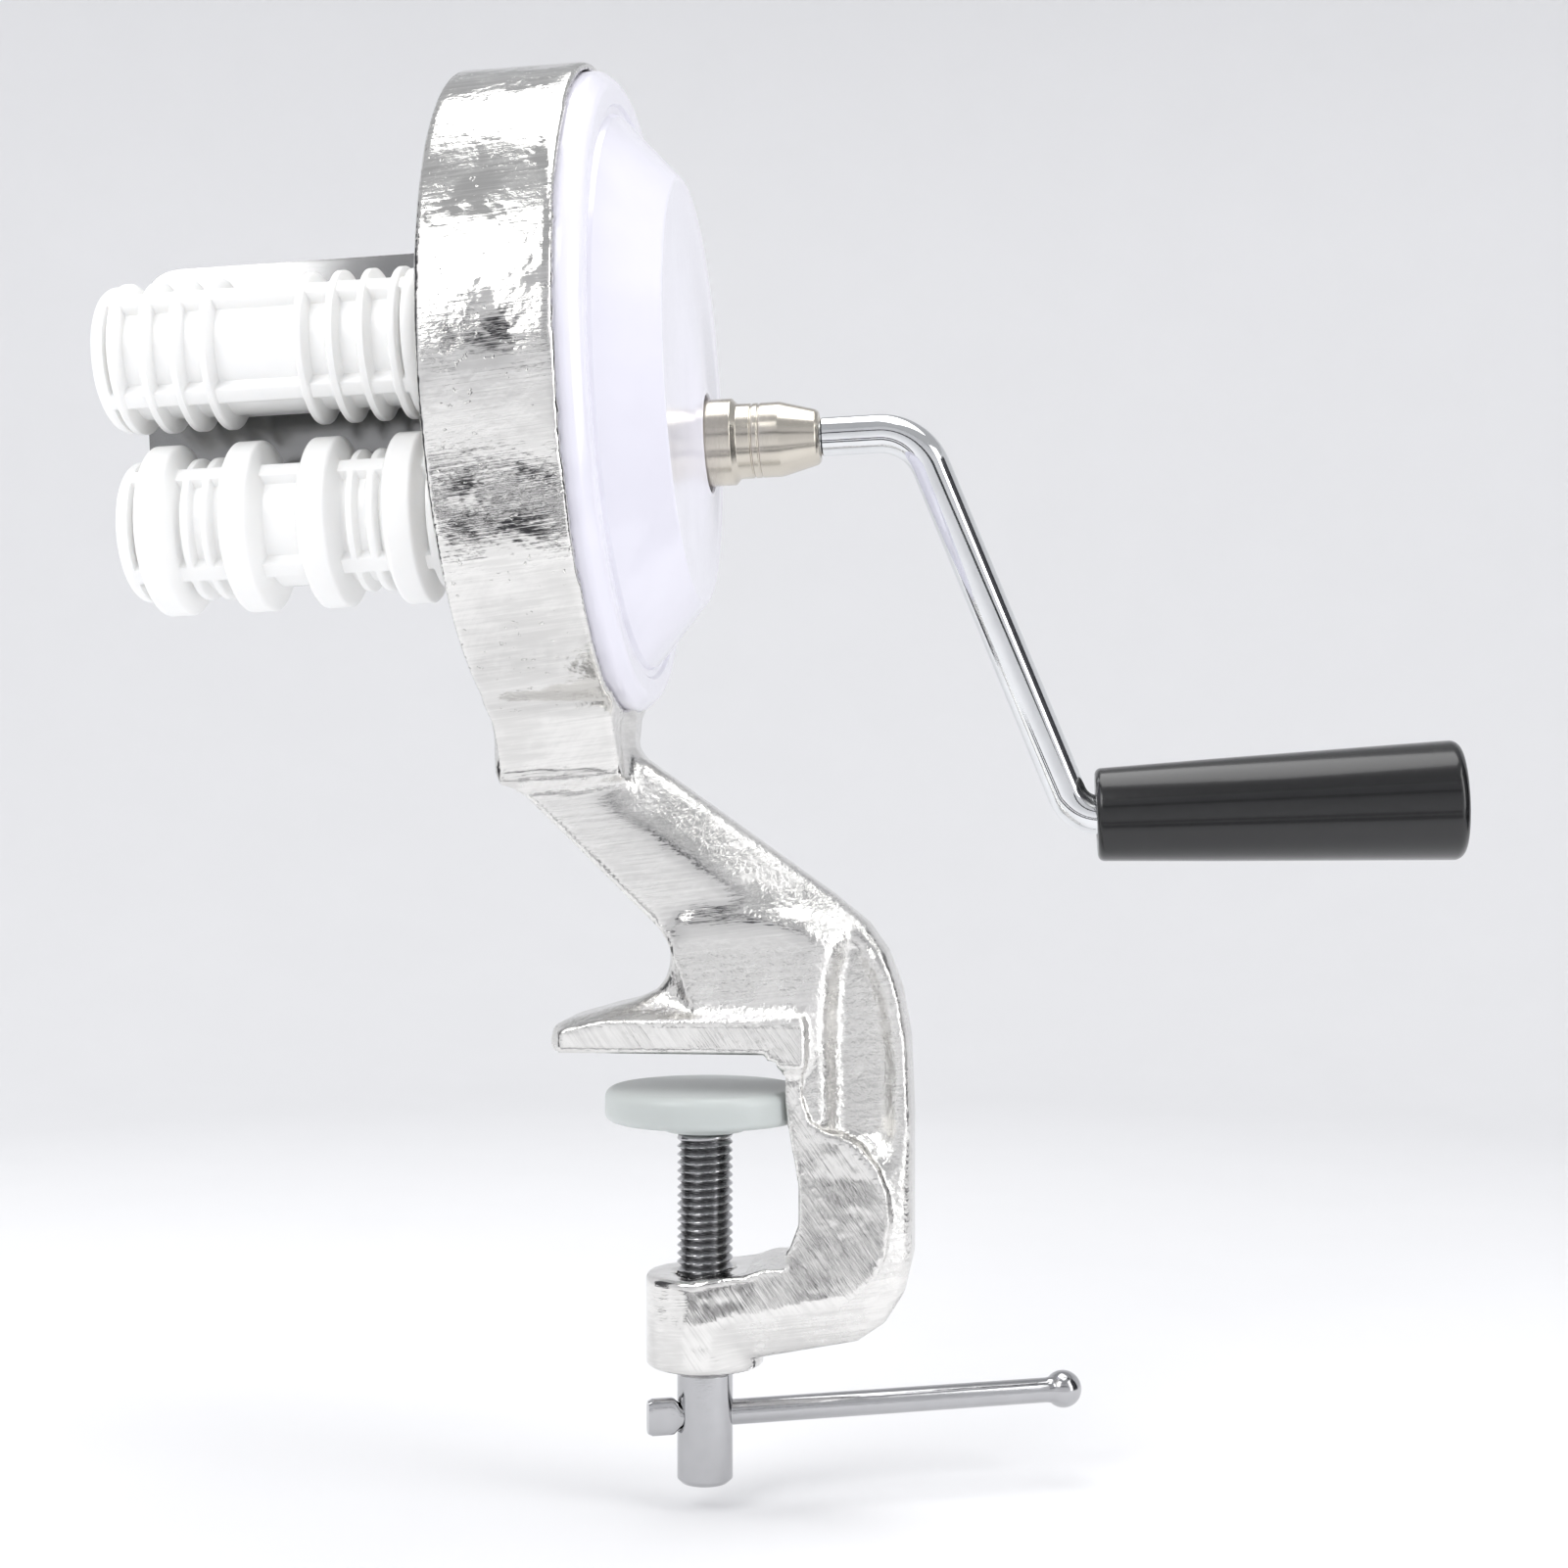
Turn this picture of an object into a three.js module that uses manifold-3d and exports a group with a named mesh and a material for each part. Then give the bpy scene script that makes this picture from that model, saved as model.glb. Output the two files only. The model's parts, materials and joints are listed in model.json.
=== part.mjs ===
// A table-clamp kitchen machine with two ribbed nylon rollers, turned by a detachable crank through gears.
// Millimetres, +Z up. The origin is the centre of the upper jaw's flat underside, on the clamp screw's axis.
// +X points towards the crank and +Y away from the rollers. The head (ring, rollers, gears, lid and crank)
// has a frame of its own: x along the ring's axis from its roller side, y as above, z up.
import * as THREE from "three";
import { mergeVertices } from "three/addons/utils/BufferGeometryUtils.js";
import Module from "manifold-3d";

// Driving dimensions.
const HEAD = { x: -45.4, z: 137.2, tilt: 2.47 }; // centre of the ring's roller side; its axis rises towards +X
const RING = { r: 69, width: 26.6, web: 4.5, bore: 62.5, mouth: 67.4, mouthDepth: 2.6 };
const BODY_Y = { arm: 12.5, spine: 9, jaw: 14, ridge: 7, pocket: 5.5 }; // half thicknesses of the casting
const COVER = { r: 67.1, rimX: 31.5, rimR: 64.1, faceX: 43.3, faceR: 44.7, wall: 2.2, hole: 10.7 };
const ROLLER = { y: -30, upperZ: 8.7, lowerZ: -26.8, length: 67, upperX: -72.5, lowerX: -69 };
const PINION_TEETH = 20;
const DRIVE_TEETH = 40;
const PINION_PITCH_R = (ROLLER.upperZ - ROLLER.lowerZ) / 2; // equal pinions in mesh with each other
const MODULE = (2 * PINION_PITCH_R) / PINION_TEETH;
const DRIVE_PITCH_R = (MODULE * DRIVE_TEETH) / 2;
const DRIVE_Z = -8;
const DRIVE_REACH = PINION_PITCH_R + DRIVE_PITCH_R; // centre distance to the lower pinion
const DRIVE_Y = ROLLER.y + Math.sqrt(DRIVE_REACH ** 2 - (DRIVE_Z - ROLLER.lowerZ) ** 2);
const PLANE_A = { x: 8.5, width: 7.5 }; // the two pinions mesh here
const PLANE_B = { x: 17, width: 7 }; // the drive gear meshes with the long lower pinion here
const SHAFT = { spigot: 5, seat: 6.5, collar: 9.5, neck: 8.2, nose: 6.1, end: 67.9, socket: 4.25 };
const AXLE_R = 4;
const GAP = 0.3; // between pieces that touch
const CRANK = { rod: 4.25, thread: 3.95, threadLength: 15.5, bend: 20.9, lean: 20, drop: 85.4, end: 126.5,
  topRound: 8.5, footRound: 5.2 };
const GRIP = { start: 56.3, end: 134, r0: 10.05, r1: 12.9, bore: 4.75 };
const SCREW = { r: 5.95, spigot: 4, headTop: -68.4, headBottom: -92.3, barZ: -78 };
const BOSS = { r: 12.5, top: -47.6, bottom: -67.2, bore: 6.4 };
const PAD = { r: 21.2, top: -8.2, rim: -15.2, hub: -17.6, hubR: 8.6 };
const BAR = { r: 2.7, angle: 21.1, ball: 4.1, reach: 81.4, flatFrom: -6.6, flatTo: -12.4 };
const GUARD = { x: -73, y: -10.5, top: 31.3, bottom: -36, depth: 16, sheet: 1, corner: 9 };

const deg = THREE.MathUtils.degToRad;
const wasm = await Module();
wasm.setup();

// ---- solids ----------------------------------------------------------------------------------------

function solid(geometry) {
  const bare = (geometry.index ? geometry.toNonIndexed() : geometry.clone()).deleteAttribute("normal");
  bare.deleteAttribute("uv");
  const merged = mergeVertices(bare, 1e-4);
  return new wasm.Manifold(
    new wasm.Mesh({
      numProp: 3,
      vertProperties: merged.attributes.position.array,
      triVerts: new Uint32Array(merged.index.array),
    }),
  );
}

function geometryOf(manifold) {
  const mesh = manifold.getMesh();
  const geometry = new THREE.BufferGeometry();
  geometry.setAttribute("position", new THREE.BufferAttribute(mesh.vertProperties, 3));
  geometry.setIndex(new THREE.BufferAttribute(mesh.triVerts, 1));
  geometry.computeVertexNormals();
  return geometry;
}

const join = (...solids) => solids.reduce((a, b) => a.add(b));
const cut = (body, ...tools) => tools.reduce((a, b) => a.subtract(b), body);

// A profile of [radius, height] points turned about an axis; axis is "x" (height along +X) or "z".
function turned(profile, axis = "x", segments = 32) {
  const lathe = new THREE.LatheGeometry(profile.map(([r, h]) => new THREE.Vector2(r, h)), segments);
  if (axis === "x") lathe.rotateZ(-Math.PI / 2);
  else lathe.rotateX(Math.PI / 2);
  return orient(lathe);
}

// Turns the faces outwards when the profile ran the other way.
function orient(geometry) {
  if (solid(geometry).volume() > 0) return geometry;
  const index = geometry.index.array;
  for (let i = 0; i < index.length; i += 3) [index[i], index[i + 1]] = [index[i + 1], index[i]];
  return geometry;
}

const rod = (r, from, to, axis = "x", segments = 32) =>
  turned([[0, from], [r, from], [r, to], [0, to]], axis, segments);

const sleeve = (inner, outer, from, to, axis = "x", segments = 32) =>
  turned([[inner, from], [outer, from], [outer, to], [inner, to], [inner, from]], axis, segments);

const box = (x0, x1, y0, y1, z0, z1) =>
  new THREE.BoxGeometry(x1 - x0, y1 - y0, z1 - z0).translate((x0 + x1) / 2, (y0 + y1) / 2, (z0 + z1) / 2);

// An outline in X and Z, as thick as from y0 to y1.
function slab(shape, y0, y1, curveSegments = 8) {
  const geometry = new THREE.ExtrudeGeometry(shape, { depth: y1 - y0, bevelEnabled: false, curveSegments });
  return geometry.rotateX(Math.PI / 2).translate(0, y1, 0);
}

function outline(points) {
  return new THREE.Shape(points.map(([x, z]) => new THREE.Vector2(x, z)));
}

// A closed outline through corners [x, z, radius], each corner rounded with a curve of about that radius.
function rounded(corners) {
  const shape = new THREE.Shape();
  corners.forEach(([x, z, radius = 0], i) => {
    const here = new THREE.Vector2(x, z);
    const towards = (other) => {
      const step = new THREE.Vector2(other[0], other[1]).sub(here);
      return here.clone().add(step.setLength(Math.min(radius, step.length() / 2)));
    };
    const entry = towards(corners[(i + corners.length - 1) % corners.length]);
    const exit = towards(corners[(i + 1) % corners.length]);
    if (i === 0) shape.moveTo(entry.x, entry.y);
    else shape.lineTo(entry.x, entry.y);
    if (radius > 0) shape.quadraticCurveTo(x, z, exit.x, exit.y);
  });
  shape.closePath();
  return shape;
}

// A shape in Y and Z, carried along X.
function prism(shape, x0, x1, curveSegments = 8) {
  const geometry = new THREE.ExtrudeGeometry(shape, { depth: x1 - x0, bevelEnabled: false, curveSegments });
  geometry.applyMatrix4(new THREE.Matrix4().set(0, 0, 1, x0, 1, 0, 0, 0, 0, 1, 0, 0, 0, 0, 0, 1));
  return geometry;
}

const at = (geometry, y, z, x = 0) => geometry.translate(x, y, z);

// The head's frame as a matrix, for the stretches of the casting that belong to the ring.
const headMatrix = new THREE.Matrix4()
  .makeRotationY(-deg(HEAD.tilt))
  .setPosition(HEAD.x, 0, HEAD.z);

// ---- the casting -----------------------------------------------------------------------------------

function ringSolid() {
  const mouthX = RING.width - RING.mouthDepth;
  const shell = turned([
    [0, 0], [RING.r - 1.5, 0], [RING.r, 1.5], [RING.r, RING.width - 0.8], [RING.r - 0.6, RING.width],
    [RING.mouth, RING.width], [RING.mouth, mouthX], [RING.bore, mouthX], [RING.bore, RING.web], [0, RING.web],
  ], "x", 80);
  // The lug under the ring narrows from its flanks to the neck.
  const lug = prism(outline([[-27, -58], [-20.5, -66.3], [-12.5, -79], [12.5, -79], [20.5, -66.3], [27, -58]]),
    1, RING.width - 0.6);
  const body = join(solid(shell), solid(lug));
  return cut(body,
    solid(rod(RING.bore, RING.web, RING.width + 1, "x", 80)),
    solid(rod(RING.mouth, mouthX, RING.width + 1, "x", 80)),
    solid(at(rod(7, -1, RING.web + 1), ROLLER.y, ROLLER.upperZ)),
    solid(at(rod(7, -1, RING.web + 1), ROLLER.y, ROLLER.lowerZ)),
    solid(at(rod(8.3, -1, RING.web + 1), DRIVE_Y, DRIVE_Z)),
    ...GUARD_SCREW_Z.map((z) => solid(at(rod(2.2, -1, RING.web + 1, "x", 12), GUARD_SCREW_Y, z))),
  );
}

function clampSolid() {
  // The slanted neck's broad front band, from the lug down to the spine.
  const neck = slab(rounded([
    [-42.1, 60], [-17.5, 62], [-16.8, 55.5, 2], [20.1, 26, 8], [24, 12], [22, 2], [-12, 2], [-2.1, 19.9, 4], [-42.1, 58.4],
  ]), -10.5, 10.5);
  // The neck, spine and lower arm seen from the side, at the casting's middle thickness.
  const back = slab(rounded([
    [-21, 72], [-15, 72], [-14.8, 63, 4], [33.8, 28.6, 16], [42.5, 14, 12], [44.2, -8, 10], [44.2, -47, 18],
    [33, -60.5, 16], [9, -64.6], [9, -50], [20, -46, 6], [22, -20, 8], [20, 2, 3], [0, 4], [0, 22],
    [-17, 50, 6],
  ]), -BODY_Y.spine, BODY_Y.spine);
  const jaw = slab(rounded([
    [-28.6, 0, 1.5], [-28.8, 4.6, 1.5], [-19.5, 6.6, 6], [21, 7.3, 2], [22.2, -10], [21.2, -18], [19.3, -15],
    [17.9, -7, 4], [14.9, 0, 2],
  ]), -BODY_Y.jaw, BODY_Y.jaw);
  const ridge = slab(rounded([
    [-29, 2], [-28.4, 4.2, 2], [-9.5, 10.6, 9], [-2.1, 20.4, 5], [10, 22], [26, 15], [21, 2],
  ]), -BODY_Y.ridge, BODY_Y.ridge);
  // The lower arm's flat band, wrapped round the throat from the jaw to the screw's boss.
  const arm = slab(rounded([
    [14.8, 3], [17.8, -6.8, 3], [19.2, -15], [21.3, -27, 6], [21.3, -36, 8], [16.2, -45, 8], [0, -47.6],
    [0, -57.5], [32.5, -51.4, 12], [40.6, -42, 8], [41, -24, 10], [34, -16.5, 8], [23, -14.5], [22, 3],
  ]), -BODY_Y.arm, BODY_Y.arm);
  const rib = slab(rounded([[23.2, 14, 1], [27, 14, 1], [27, -15.5], [23.2, -15.5]]),
    -BODY_Y.spine - 0.6, BODY_Y.spine + 0.6);
  const boss = rod(BOSS.r, BOSS.bottom, BOSS.top, "z", 48);
  const pocket = rounded([
    [27.2, -17], [27.2, 8, 4], [31.5, 25.5, 5], [38.5, 12, 6], [40.6, -2, 6], [40.6, -19, 2], [33, -15.6, 3],
  ]);
  const screwBore = rod(BOSS.bore, BOSS.bottom - 1, BOSS.top + 1, "z", 48);
  const padRelief = rod(PAD.r + 0.6, BOSS.top + 3, -1.2, "z", 64);
  const jawGap = slab(outline([[-30, 0], [12, 0], [12, -30], [-30, -30]]), -20, 20);
  return cut(join(...[neck, back, jaw, ridge, arm, rib, boss].map(solid)),
    solid(slab(pocket, -20, -BODY_Y.pocket)),
    solid(slab(pocket, BODY_Y.pocket, 20)),
    solid(screwBore), solid(padRelief), solid(jawGap));
}

const GUARD_SCREW_Y = 1.5;
const GUARD_SCREW_Z = [22, -26];

function frameCasting() {
  const ring = geometryOf(ringSolid()).applyMatrix4(headMatrix);
  const chamber = rod(RING.bore, RING.web, 60, "x", 80).applyMatrix4(headMatrix);
  const mouth = rod(RING.mouth, RING.width - RING.mouthDepth, 60, "x", 80).applyMatrix4(headMatrix);
  return geometryOf(join(solid(ring), cut(clampSolid(), solid(chamber), solid(mouth))));
}

// ---- lid and guard ---------------------------------------------------------------------------------

function gearCover() {
  const { r, rimX, rimR, faceX, faceR, wall } = COVER;
  const back = RING.width - RING.mouthDepth + GAP;
  const dome = turned([
    [0, faceX - wall], [faceR - 1, faceX - wall], [55.6, rimX - wall], [r - wall, rimX - wall - 1.5],
    [r - wall, back], [r, back], [r, 28.6], [66.2, 30.4], [rimR, rimX], [60.2, rimX], [59.2, rimX - 0.5],
    [58, rimX], [46.9, 42.2], [faceR, faceX], [0, faceX],
  ], "x", 80);
  const hole = at(rod(COVER.hole, rimX, faceX + 2), DRIVE_Y, DRIVE_Z);
  return geometryOf(cut(solid(dome), solid(hole)));
}

// A bent sheet: a wall behind the rollers with flanges bent back round it; the flange on the right is screwed on.
function guardPlate() {
  const { x, y, top, bottom, depth, sheet, corner } = GUARD;
  const pan = (inset, from, to) => slab(rounded([
    [x + inset, bottom + inset, corner - inset], [-GAP - inset, bottom + inset],
    [-GAP - inset, top - inset], [x + inset, top - inset, corner - inset],
  ]), from, to);
  const holes = GUARD_SCREW_Z.map((z) => solid(at(rod(2.2, -3, 1, "x", 12), GUARD_SCREW_Y, z)));
  return geometryOf(cut(solid(pan(0, y, y + depth)), solid(pan(sheet, y + sheet, y + depth + 1)), ...holes));
}

function guardScrew() {
  return turned([[0, -4.2], [3.2, -4.2], [3.8, -3.4], [3.8, -1.6], [1.9, -1.6], [1.9, RING.web - 0.2], [0, RING.web - 0.2]],
    "x", 16);
}

// ---- rollers ---------------------------------------------------------------------------------------

const BAR_COUNT = 4;

// A roller is a core with rings on it and four bars along it: rings are [centre, radius, crest, base].
function roller(start, core, barR, rings, centre) {
  const end = start + ROLLER.length;
  const profile = [[0, start], [barR - 2.5, start], [barR, start + 2.5], [barR, start + 3.6], [core, start + 3.6]];
  for (const [offset, radius, crest, base] of rings) {
    const x = centre + offset;
    profile.push([core, x - base / 2], [radius, x - crest / 2], [radius, x + crest / 2], [core, x + base / 2]);
  }
  profile.push([core, end - 3.6], [barR, end - 3.6], [barR, end], [0, end]);
  const bars = [];
  for (let i = 0; i < BAR_COUNT; i++) {
    const bar = box(start + 3, end - 3, -2.1, 2.1, core - 3, barR);
    bars.push(solid(bar.rotateX(deg(45 + (i * 360) / BAR_COUNT))));
  }
  const bore = rod(AXLE_R + GAP, start + 4, end + 1, "x", 24);
  return geometryOf(cut(join(solid(turned(profile, "x", 28)), ...bars), solid(bore)));
}

function upperRoller() {
  const pitch = 6.3;
  const firstRib = 9.7;
  const rings = [];
  for (const side of [-1, 1]) {
    for (let i = 0; i < 4; i++) rings.push([side * (firstRib + i * pitch), 15.3, 1.4, 3.2]);
  }
  rings.sort((a, b) => a[0] - b[0]);
  return roller(0, 12.4, 14.8, rings, ROLLER.length / 2);
}

function lowerRoller() {
  const rings = [];
  for (const side of [-1, 1]) {
    rings.push([side * 25.2, 17.4, 4.6, 9], [side * 8, 17.4, 4.6, 9]);
    rings.push([side * 14.8, 14.4, 1.2, 2.6], [side * 18.9, 14.4, 1.2, 2.6]);
  }
  rings.sort((a, b) => a[0] - b[0]);
  return roller(0, 12.4, 14.5, rings, ROLLER.length / 2);
}

// ---- gears, shafts and small turned parts ----------------------------------------------------------

// A spur gear's outline, with involute flanks and a little backlash; a tooth points along angle phase.
function gearShape(teeth, pitchR, phase) {
  const pressure = deg(20);
  const backlash = 0.14;
  const baseR = pitchR * Math.cos(pressure);
  const tipR = pitchR + MODULE * 0.95;
  const rootR = pitchR - MODULE * 1.2;
  const involute = (r) => (r <= baseR ? 0 : Math.sqrt((r / baseR) ** 2 - 1) - Math.acos(baseR / r));
  const halfAtPitch = (Math.PI / 2 / teeth) * (1 - backlash);
  const half = (r) => halfAtPitch + involute(pitchR) - involute(r);
  const radii = [rootR, Math.max(baseR, rootR + 0.3), pitchR, tipR];
  const points = [];
  for (let i = 0; i < teeth; i++) {
    const middle = phase + (i * 2 * Math.PI) / teeth;
    for (const r of radii) points.push([r * Math.cos(middle - half(r)), r * Math.sin(middle - half(r))]);
    for (const r of [...radii].reverse()) points.push([r * Math.cos(middle + half(r)), r * Math.sin(middle + half(r))]);
  }
  return outline(points);
}

// Where gear 2's gap must point so that it meets gear 1, seen along the line of centres from gear 1.
const meshPhase = (phase1, teeth1, teeth2, line) =>
  line + Math.PI - (phase1 - line) * (teeth1 / teeth2) + Math.PI / teeth2;

const lineToDrive = Math.atan2(DRIVE_Z - ROLLER.lowerZ, DRIVE_Y - ROLLER.y);
const LOWER_PHASE = lineToDrive;
const DRIVE_PHASE = meshPhase(LOWER_PHASE, PINION_TEETH, DRIVE_TEETH, lineToDrive);
const UPPER_PHASE = meshPhase(LOWER_PHASE, PINION_TEETH, PINION_TEETH, Math.PI / 2);

function gear(teeth, pitchR, phase, x0, x1, boreR, keyway) {
  const wheel = solid(prism(gearShape(teeth, pitchR, phase), x0, x1));
  const tools = [solid(rod(boreR + GAP, x0 - 1, x1 + 1, "x", 24))];
  if (keyway) tools.push(solid(box(x0 - 1, x1 + 1, -KEY.half - GAP, KEY.half + GAP, 0, KEY.top + GAP)));
  return geometryOf(cut(wheel, ...tools));
}

const KEY = { half: 1.25, bottom: SHAFT.seat - 1.6, top: SHAFT.seat + 1.6 };

function driveShaft() {
  const { spigot, seat, collar, neck, nose, end, socket } = SHAFT;
  const seatEnd = PLANE_B.x + PLANE_B.width + GAP;
  const profile = [
    [0, -4.2], [spigot - 0.5, -4.2], [spigot, -3.7], [spigot, PLANE_A.x], [seat, PLANE_A.x],
    [seat, seatEnd], [collar, seatEnd], [collar, 48.9], [neck, 50.1], [neck, 53.6], [neck - 0.35, 53.9],
    [neck, 54.2], [neck, 59.4], [nose, end - 0.5], [nose - 0.5, end], [0, end],
  ];
  const keySeat = box(PLANE_B.x, seatEnd - GAP, -KEY.half - GAP, KEY.half + GAP, KEY.bottom - GAP, seat + 1);
  const socketHole = rod(socket, end - CRANK.threadLength - 1.5, end + 1, "x", 24);
  return geometryOf(cut(solid(turned(profile, "x", 40)), solid(socketHole), solid(keySeat)));
}

const driveKey = () => box(PLANE_B.x + GAP, PLANE_B.x + PLANE_B.width - GAP, -KEY.half, KEY.half, KEY.bottom, KEY.top);

function bush(innerR, outerR) {
  const flangeX = RING.web + GAP;
  return turned([
    [innerR, -1], [outerR, -1], [outerR, flangeX], [outerR + 1.9, flangeX], [outerR + 1.9, flangeX + 2.2],
    [innerR, flangeX + 2.2], [innerR, -1],
  ], "x", 24);
}

const axle = (from, to) => turned([
  [0, from], [AXLE_R - 0.6, from], [AXLE_R, from + 0.6], [AXLE_R, to - 0.6], [AXLE_R - 0.6, to], [0, to],
], "x", 24);

// A snap ring: a ring with a gap in it, standing in for a retaining ring in its groove.
function snapRing(innerR, outerR, thickness) {
  const ring = solid(sleeve(innerR, outerR, 0, thickness, "x", 24));
  return geometryOf(cut(ring, solid(box(-1, thickness + 1, -1.1, 1.1, 0, outerR + 1))));
}

// ---- crank and grip --------------------------------------------------------------------------------

// The rod runs out along the shaft's axis, leans down and outwards, and runs out again inside the grip.
function crankRod() {
  const lean = deg(CRANK.lean);
  const along = new THREE.Vector3(1, 0, 0);
  const down = new THREE.Vector3(Math.sin(lean), 0, -Math.cos(lean));
  const start = new THREE.Vector3(0, 0, 0);
  const top = new THREE.Vector3(CRANK.bend, 0, 0);
  const bottom = new THREE.Vector3(CRANK.bend + CRANK.drop * Math.tan(lean), 0, -CRANK.drop);
  const end = new THREE.Vector3(CRANK.end, 0, -CRANK.drop);
  const step = (from, direction, distance) => from.clone().addScaledVector(direction, distance);
  const [topIn, topOut] = [step(top, along, -CRANK.topRound), step(top, down, CRANK.topRound)];
  const [footIn, footOut] = [step(bottom, down, -CRANK.footRound), step(bottom, along, CRANK.footRound)];
  const path = new THREE.CurvePath();
  path.add(new THREE.LineCurve3(start, topIn));
  path.add(new THREE.QuadraticBezierCurve3(topIn, top, topOut));
  path.add(new THREE.LineCurve3(topOut, footIn));
  path.add(new THREE.QuadraticBezierCurve3(footIn, bottom, footOut));
  path.add(new THREE.LineCurve3(footOut, end));
  const section = new THREE.Shape().absarc(0, 0, CRANK.rod, 0, 2 * Math.PI, false);
  const bent = new THREE.ExtrudeGeometry(section, { steps: 64, extrudePath: path, curveSegments: 8 });
  const thread = rod(CRANK.thread, -CRANK.threadLength, 0.5, "x", 24);
  return geometryOf(join(solid(orient(bent)), solid(thread)));
}

const GRIP_POCKET = { x: 122.5, r: 8.2 };

function gripSleeve() {
  const { start, end, r0, r1, bore } = GRIP;
  return turned([
    [bore, start], [r0 - 0.8, start], [r0, start + 0.8], [r1, end - 2], [r1 - 0.6, end - 0.6], [r1 - 2, end],
    [GRIP_POCKET.r, end], [GRIP_POCKET.r, GRIP_POCKET.x], [bore, GRIP_POCKET.x], [bore, start],
  ], "x", 40);
}

const gripCap = () => turned([[0, 128.5], [GRIP_POCKET.r - GAP, 128.5], [GRIP_POCKET.r - GAP, GRIP.end - 0.6],
  [GRIP_POCKET.r - 1.2, GRIP.end], [0, GRIP.end]], "x", 32);

const gripWasher = () => sleeve(CRANK.rod + GAP, 7.2, GRIP_POCKET.x + 0.5, GRIP_POCKET.x + 1.7, "x", 24);

// ---- clamp screw, pad and bar ----------------------------------------------------------------------

function clampScrew() {
  const { r, spigot, headTop, headBottom, barZ } = SCREW;
  const body = turned([
    [0, PAD.top - 3.6], [spigot - 0.6, PAD.top - 3.6], [spigot, PAD.top - 4.2], [spigot, PAD.hub - GAP],
    [r - 0.8, PAD.hub - GAP], [r, PAD.hub - 1.1], [r, headTop + 1.2], [r - 0.9, headTop], [r, headTop - 0.9],
    [r, headBottom + 0.8], [r - 0.8, headBottom], [0, headBottom],
  ], "z", 32);
  const hole = rod(BAR.r + GAP, -20, 20, "x", 24).rotateZ(deg(BAR.angle)).translate(0, 0, barZ);
  return geometryOf(cut(solid(body), solid(hole)));
}

const CLIP_SEAT = { top: -12, bottom: -13.8, r: 6.6 };

function clampPad() {
  const { r, top, rim, hub, hubR } = PAD;
  const bore = SCREW.spigot + GAP;
  return turned([
    [0, top], [r - 1, top], [r, top - 1], [r, rim + 0.8], [r - 0.8, rim], [hubR + 3, rim - 0.2], [hubR, hub],
    [bore, hub], [bore, CLIP_SEAT.bottom], [CLIP_SEAT.r, CLIP_SEAT.bottom], [CLIP_SEAT.r, CLIP_SEAT.top],
    [bore, CLIP_SEAT.top], [bore, PAD.top - 3.2], [0, PAD.top - 3.2],
  ], "z", 36);
}

const padClip = () => sleeve(SCREW.spigot + 0.15, CLIP_SEAT.r - GAP, CLIP_SEAT.bottom + GAP, CLIP_SEAT.top - GAP, "z", 24);

// The bar through the screw's head: a ball on the long end, a hammered flat on the short one.
function tommyBar() {
  const shank = rod(BAR.r, BAR.flatFrom, BAR.reach - 2, "x", 20);
  const ball = new THREE.SphereGeometry(BAR.ball, 20, 12).translate(BAR.reach, 0, 0);
  const flat = box(BAR.flatTo, BAR.flatFrom + 0.5, -1.5, 1.5, -3.9, 3.9);
  return geometryOf(join(solid(shank), solid(ball), solid(flat)));
}

// ---- materials -------------------------------------------------------------------------------------

const finish = (color, roughness, metalness) => () => new THREE.MeshStandardMaterial({ color, roughness, metalness });
const castAluminium = finish(0xd6d4d0, 0.28, 1);
const lidPlastic = finish(0xdad8e6, 0.25, 0);
const rollerNylon = finish(0xf4f4f2, 0.35, 0);
const gearNylon = finish(0xe9e4d6, 0.45, 0);
const nickel = finish(0xc9c0ae, 0.22, 1);
const stainless = finish(0xb9b9b8, 0.2, 1);
const steel = finish(0x8f8f92, 0.35, 1);
const chrome = finish(0xe0e2e6, 0.06, 1);
const blackPlastic = finish(0x0c0c0d, 0.12, 0);
const padNylon = finish(0xdfe4df, 0.4, 0);
const bronze = finish(0x9c7a4a, 0.4, 1);

// ---- the assembly ----------------------------------------------------------------------------------

const machine = new THREE.Group();
const head = new THREE.Group();
head.position.set(HEAD.x, 0, HEAD.z);
head.rotation.y = -deg(HEAD.tilt);
machine.add(head);

function add(group, name, geometry, material, x = 0, y = 0, z = 0) {
  const mesh = new THREE.Mesh(geometry, material());
  mesh.name = name;
  mesh.position.set(x, y, z);
  group.add(mesh);
  return mesh;
}

add(machine, "frame_casting", frameCasting(), castAluminium);
add(head, "gear_cover", gearCover(), lidPlastic);
add(head, "guard_plate", guardPlate(), stainless);
GUARD_SCREW_Z.forEach((z, i) => add(head, `guard_screw_${i + 1}`, guardScrew(), steel, 0, GUARD_SCREW_Y, z));

const driveAxis = [DRIVE_Y, DRIVE_Z];
add(head, "drive_shaft", driveShaft(), nickel, 0, ...driveAxis);
add(head, "drive_gear",
  gear(DRIVE_TEETH, DRIVE_PITCH_R, DRIVE_PHASE, PLANE_B.x, PLANE_B.x + PLANE_B.width, SHAFT.seat, true),
  gearNylon, 0, ...driveAxis);
add(head, "drive_key", driveKey(), steel, 0, ...driveAxis);
add(head, "drive_bush", bush(SHAFT.spigot + 0.08, 8), bronze, 0, ...driveAxis);
add(head, "drive_clip", snapRing(SHAFT.spigot + 0.15, 8, 1.2), steel, -2.6, ...driveAxis);
add(head, "drive_washer", sleeve(SHAFT.spigot + GAP, 9, 7.4, 8.2), steel, 0, ...driveAxis);

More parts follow.
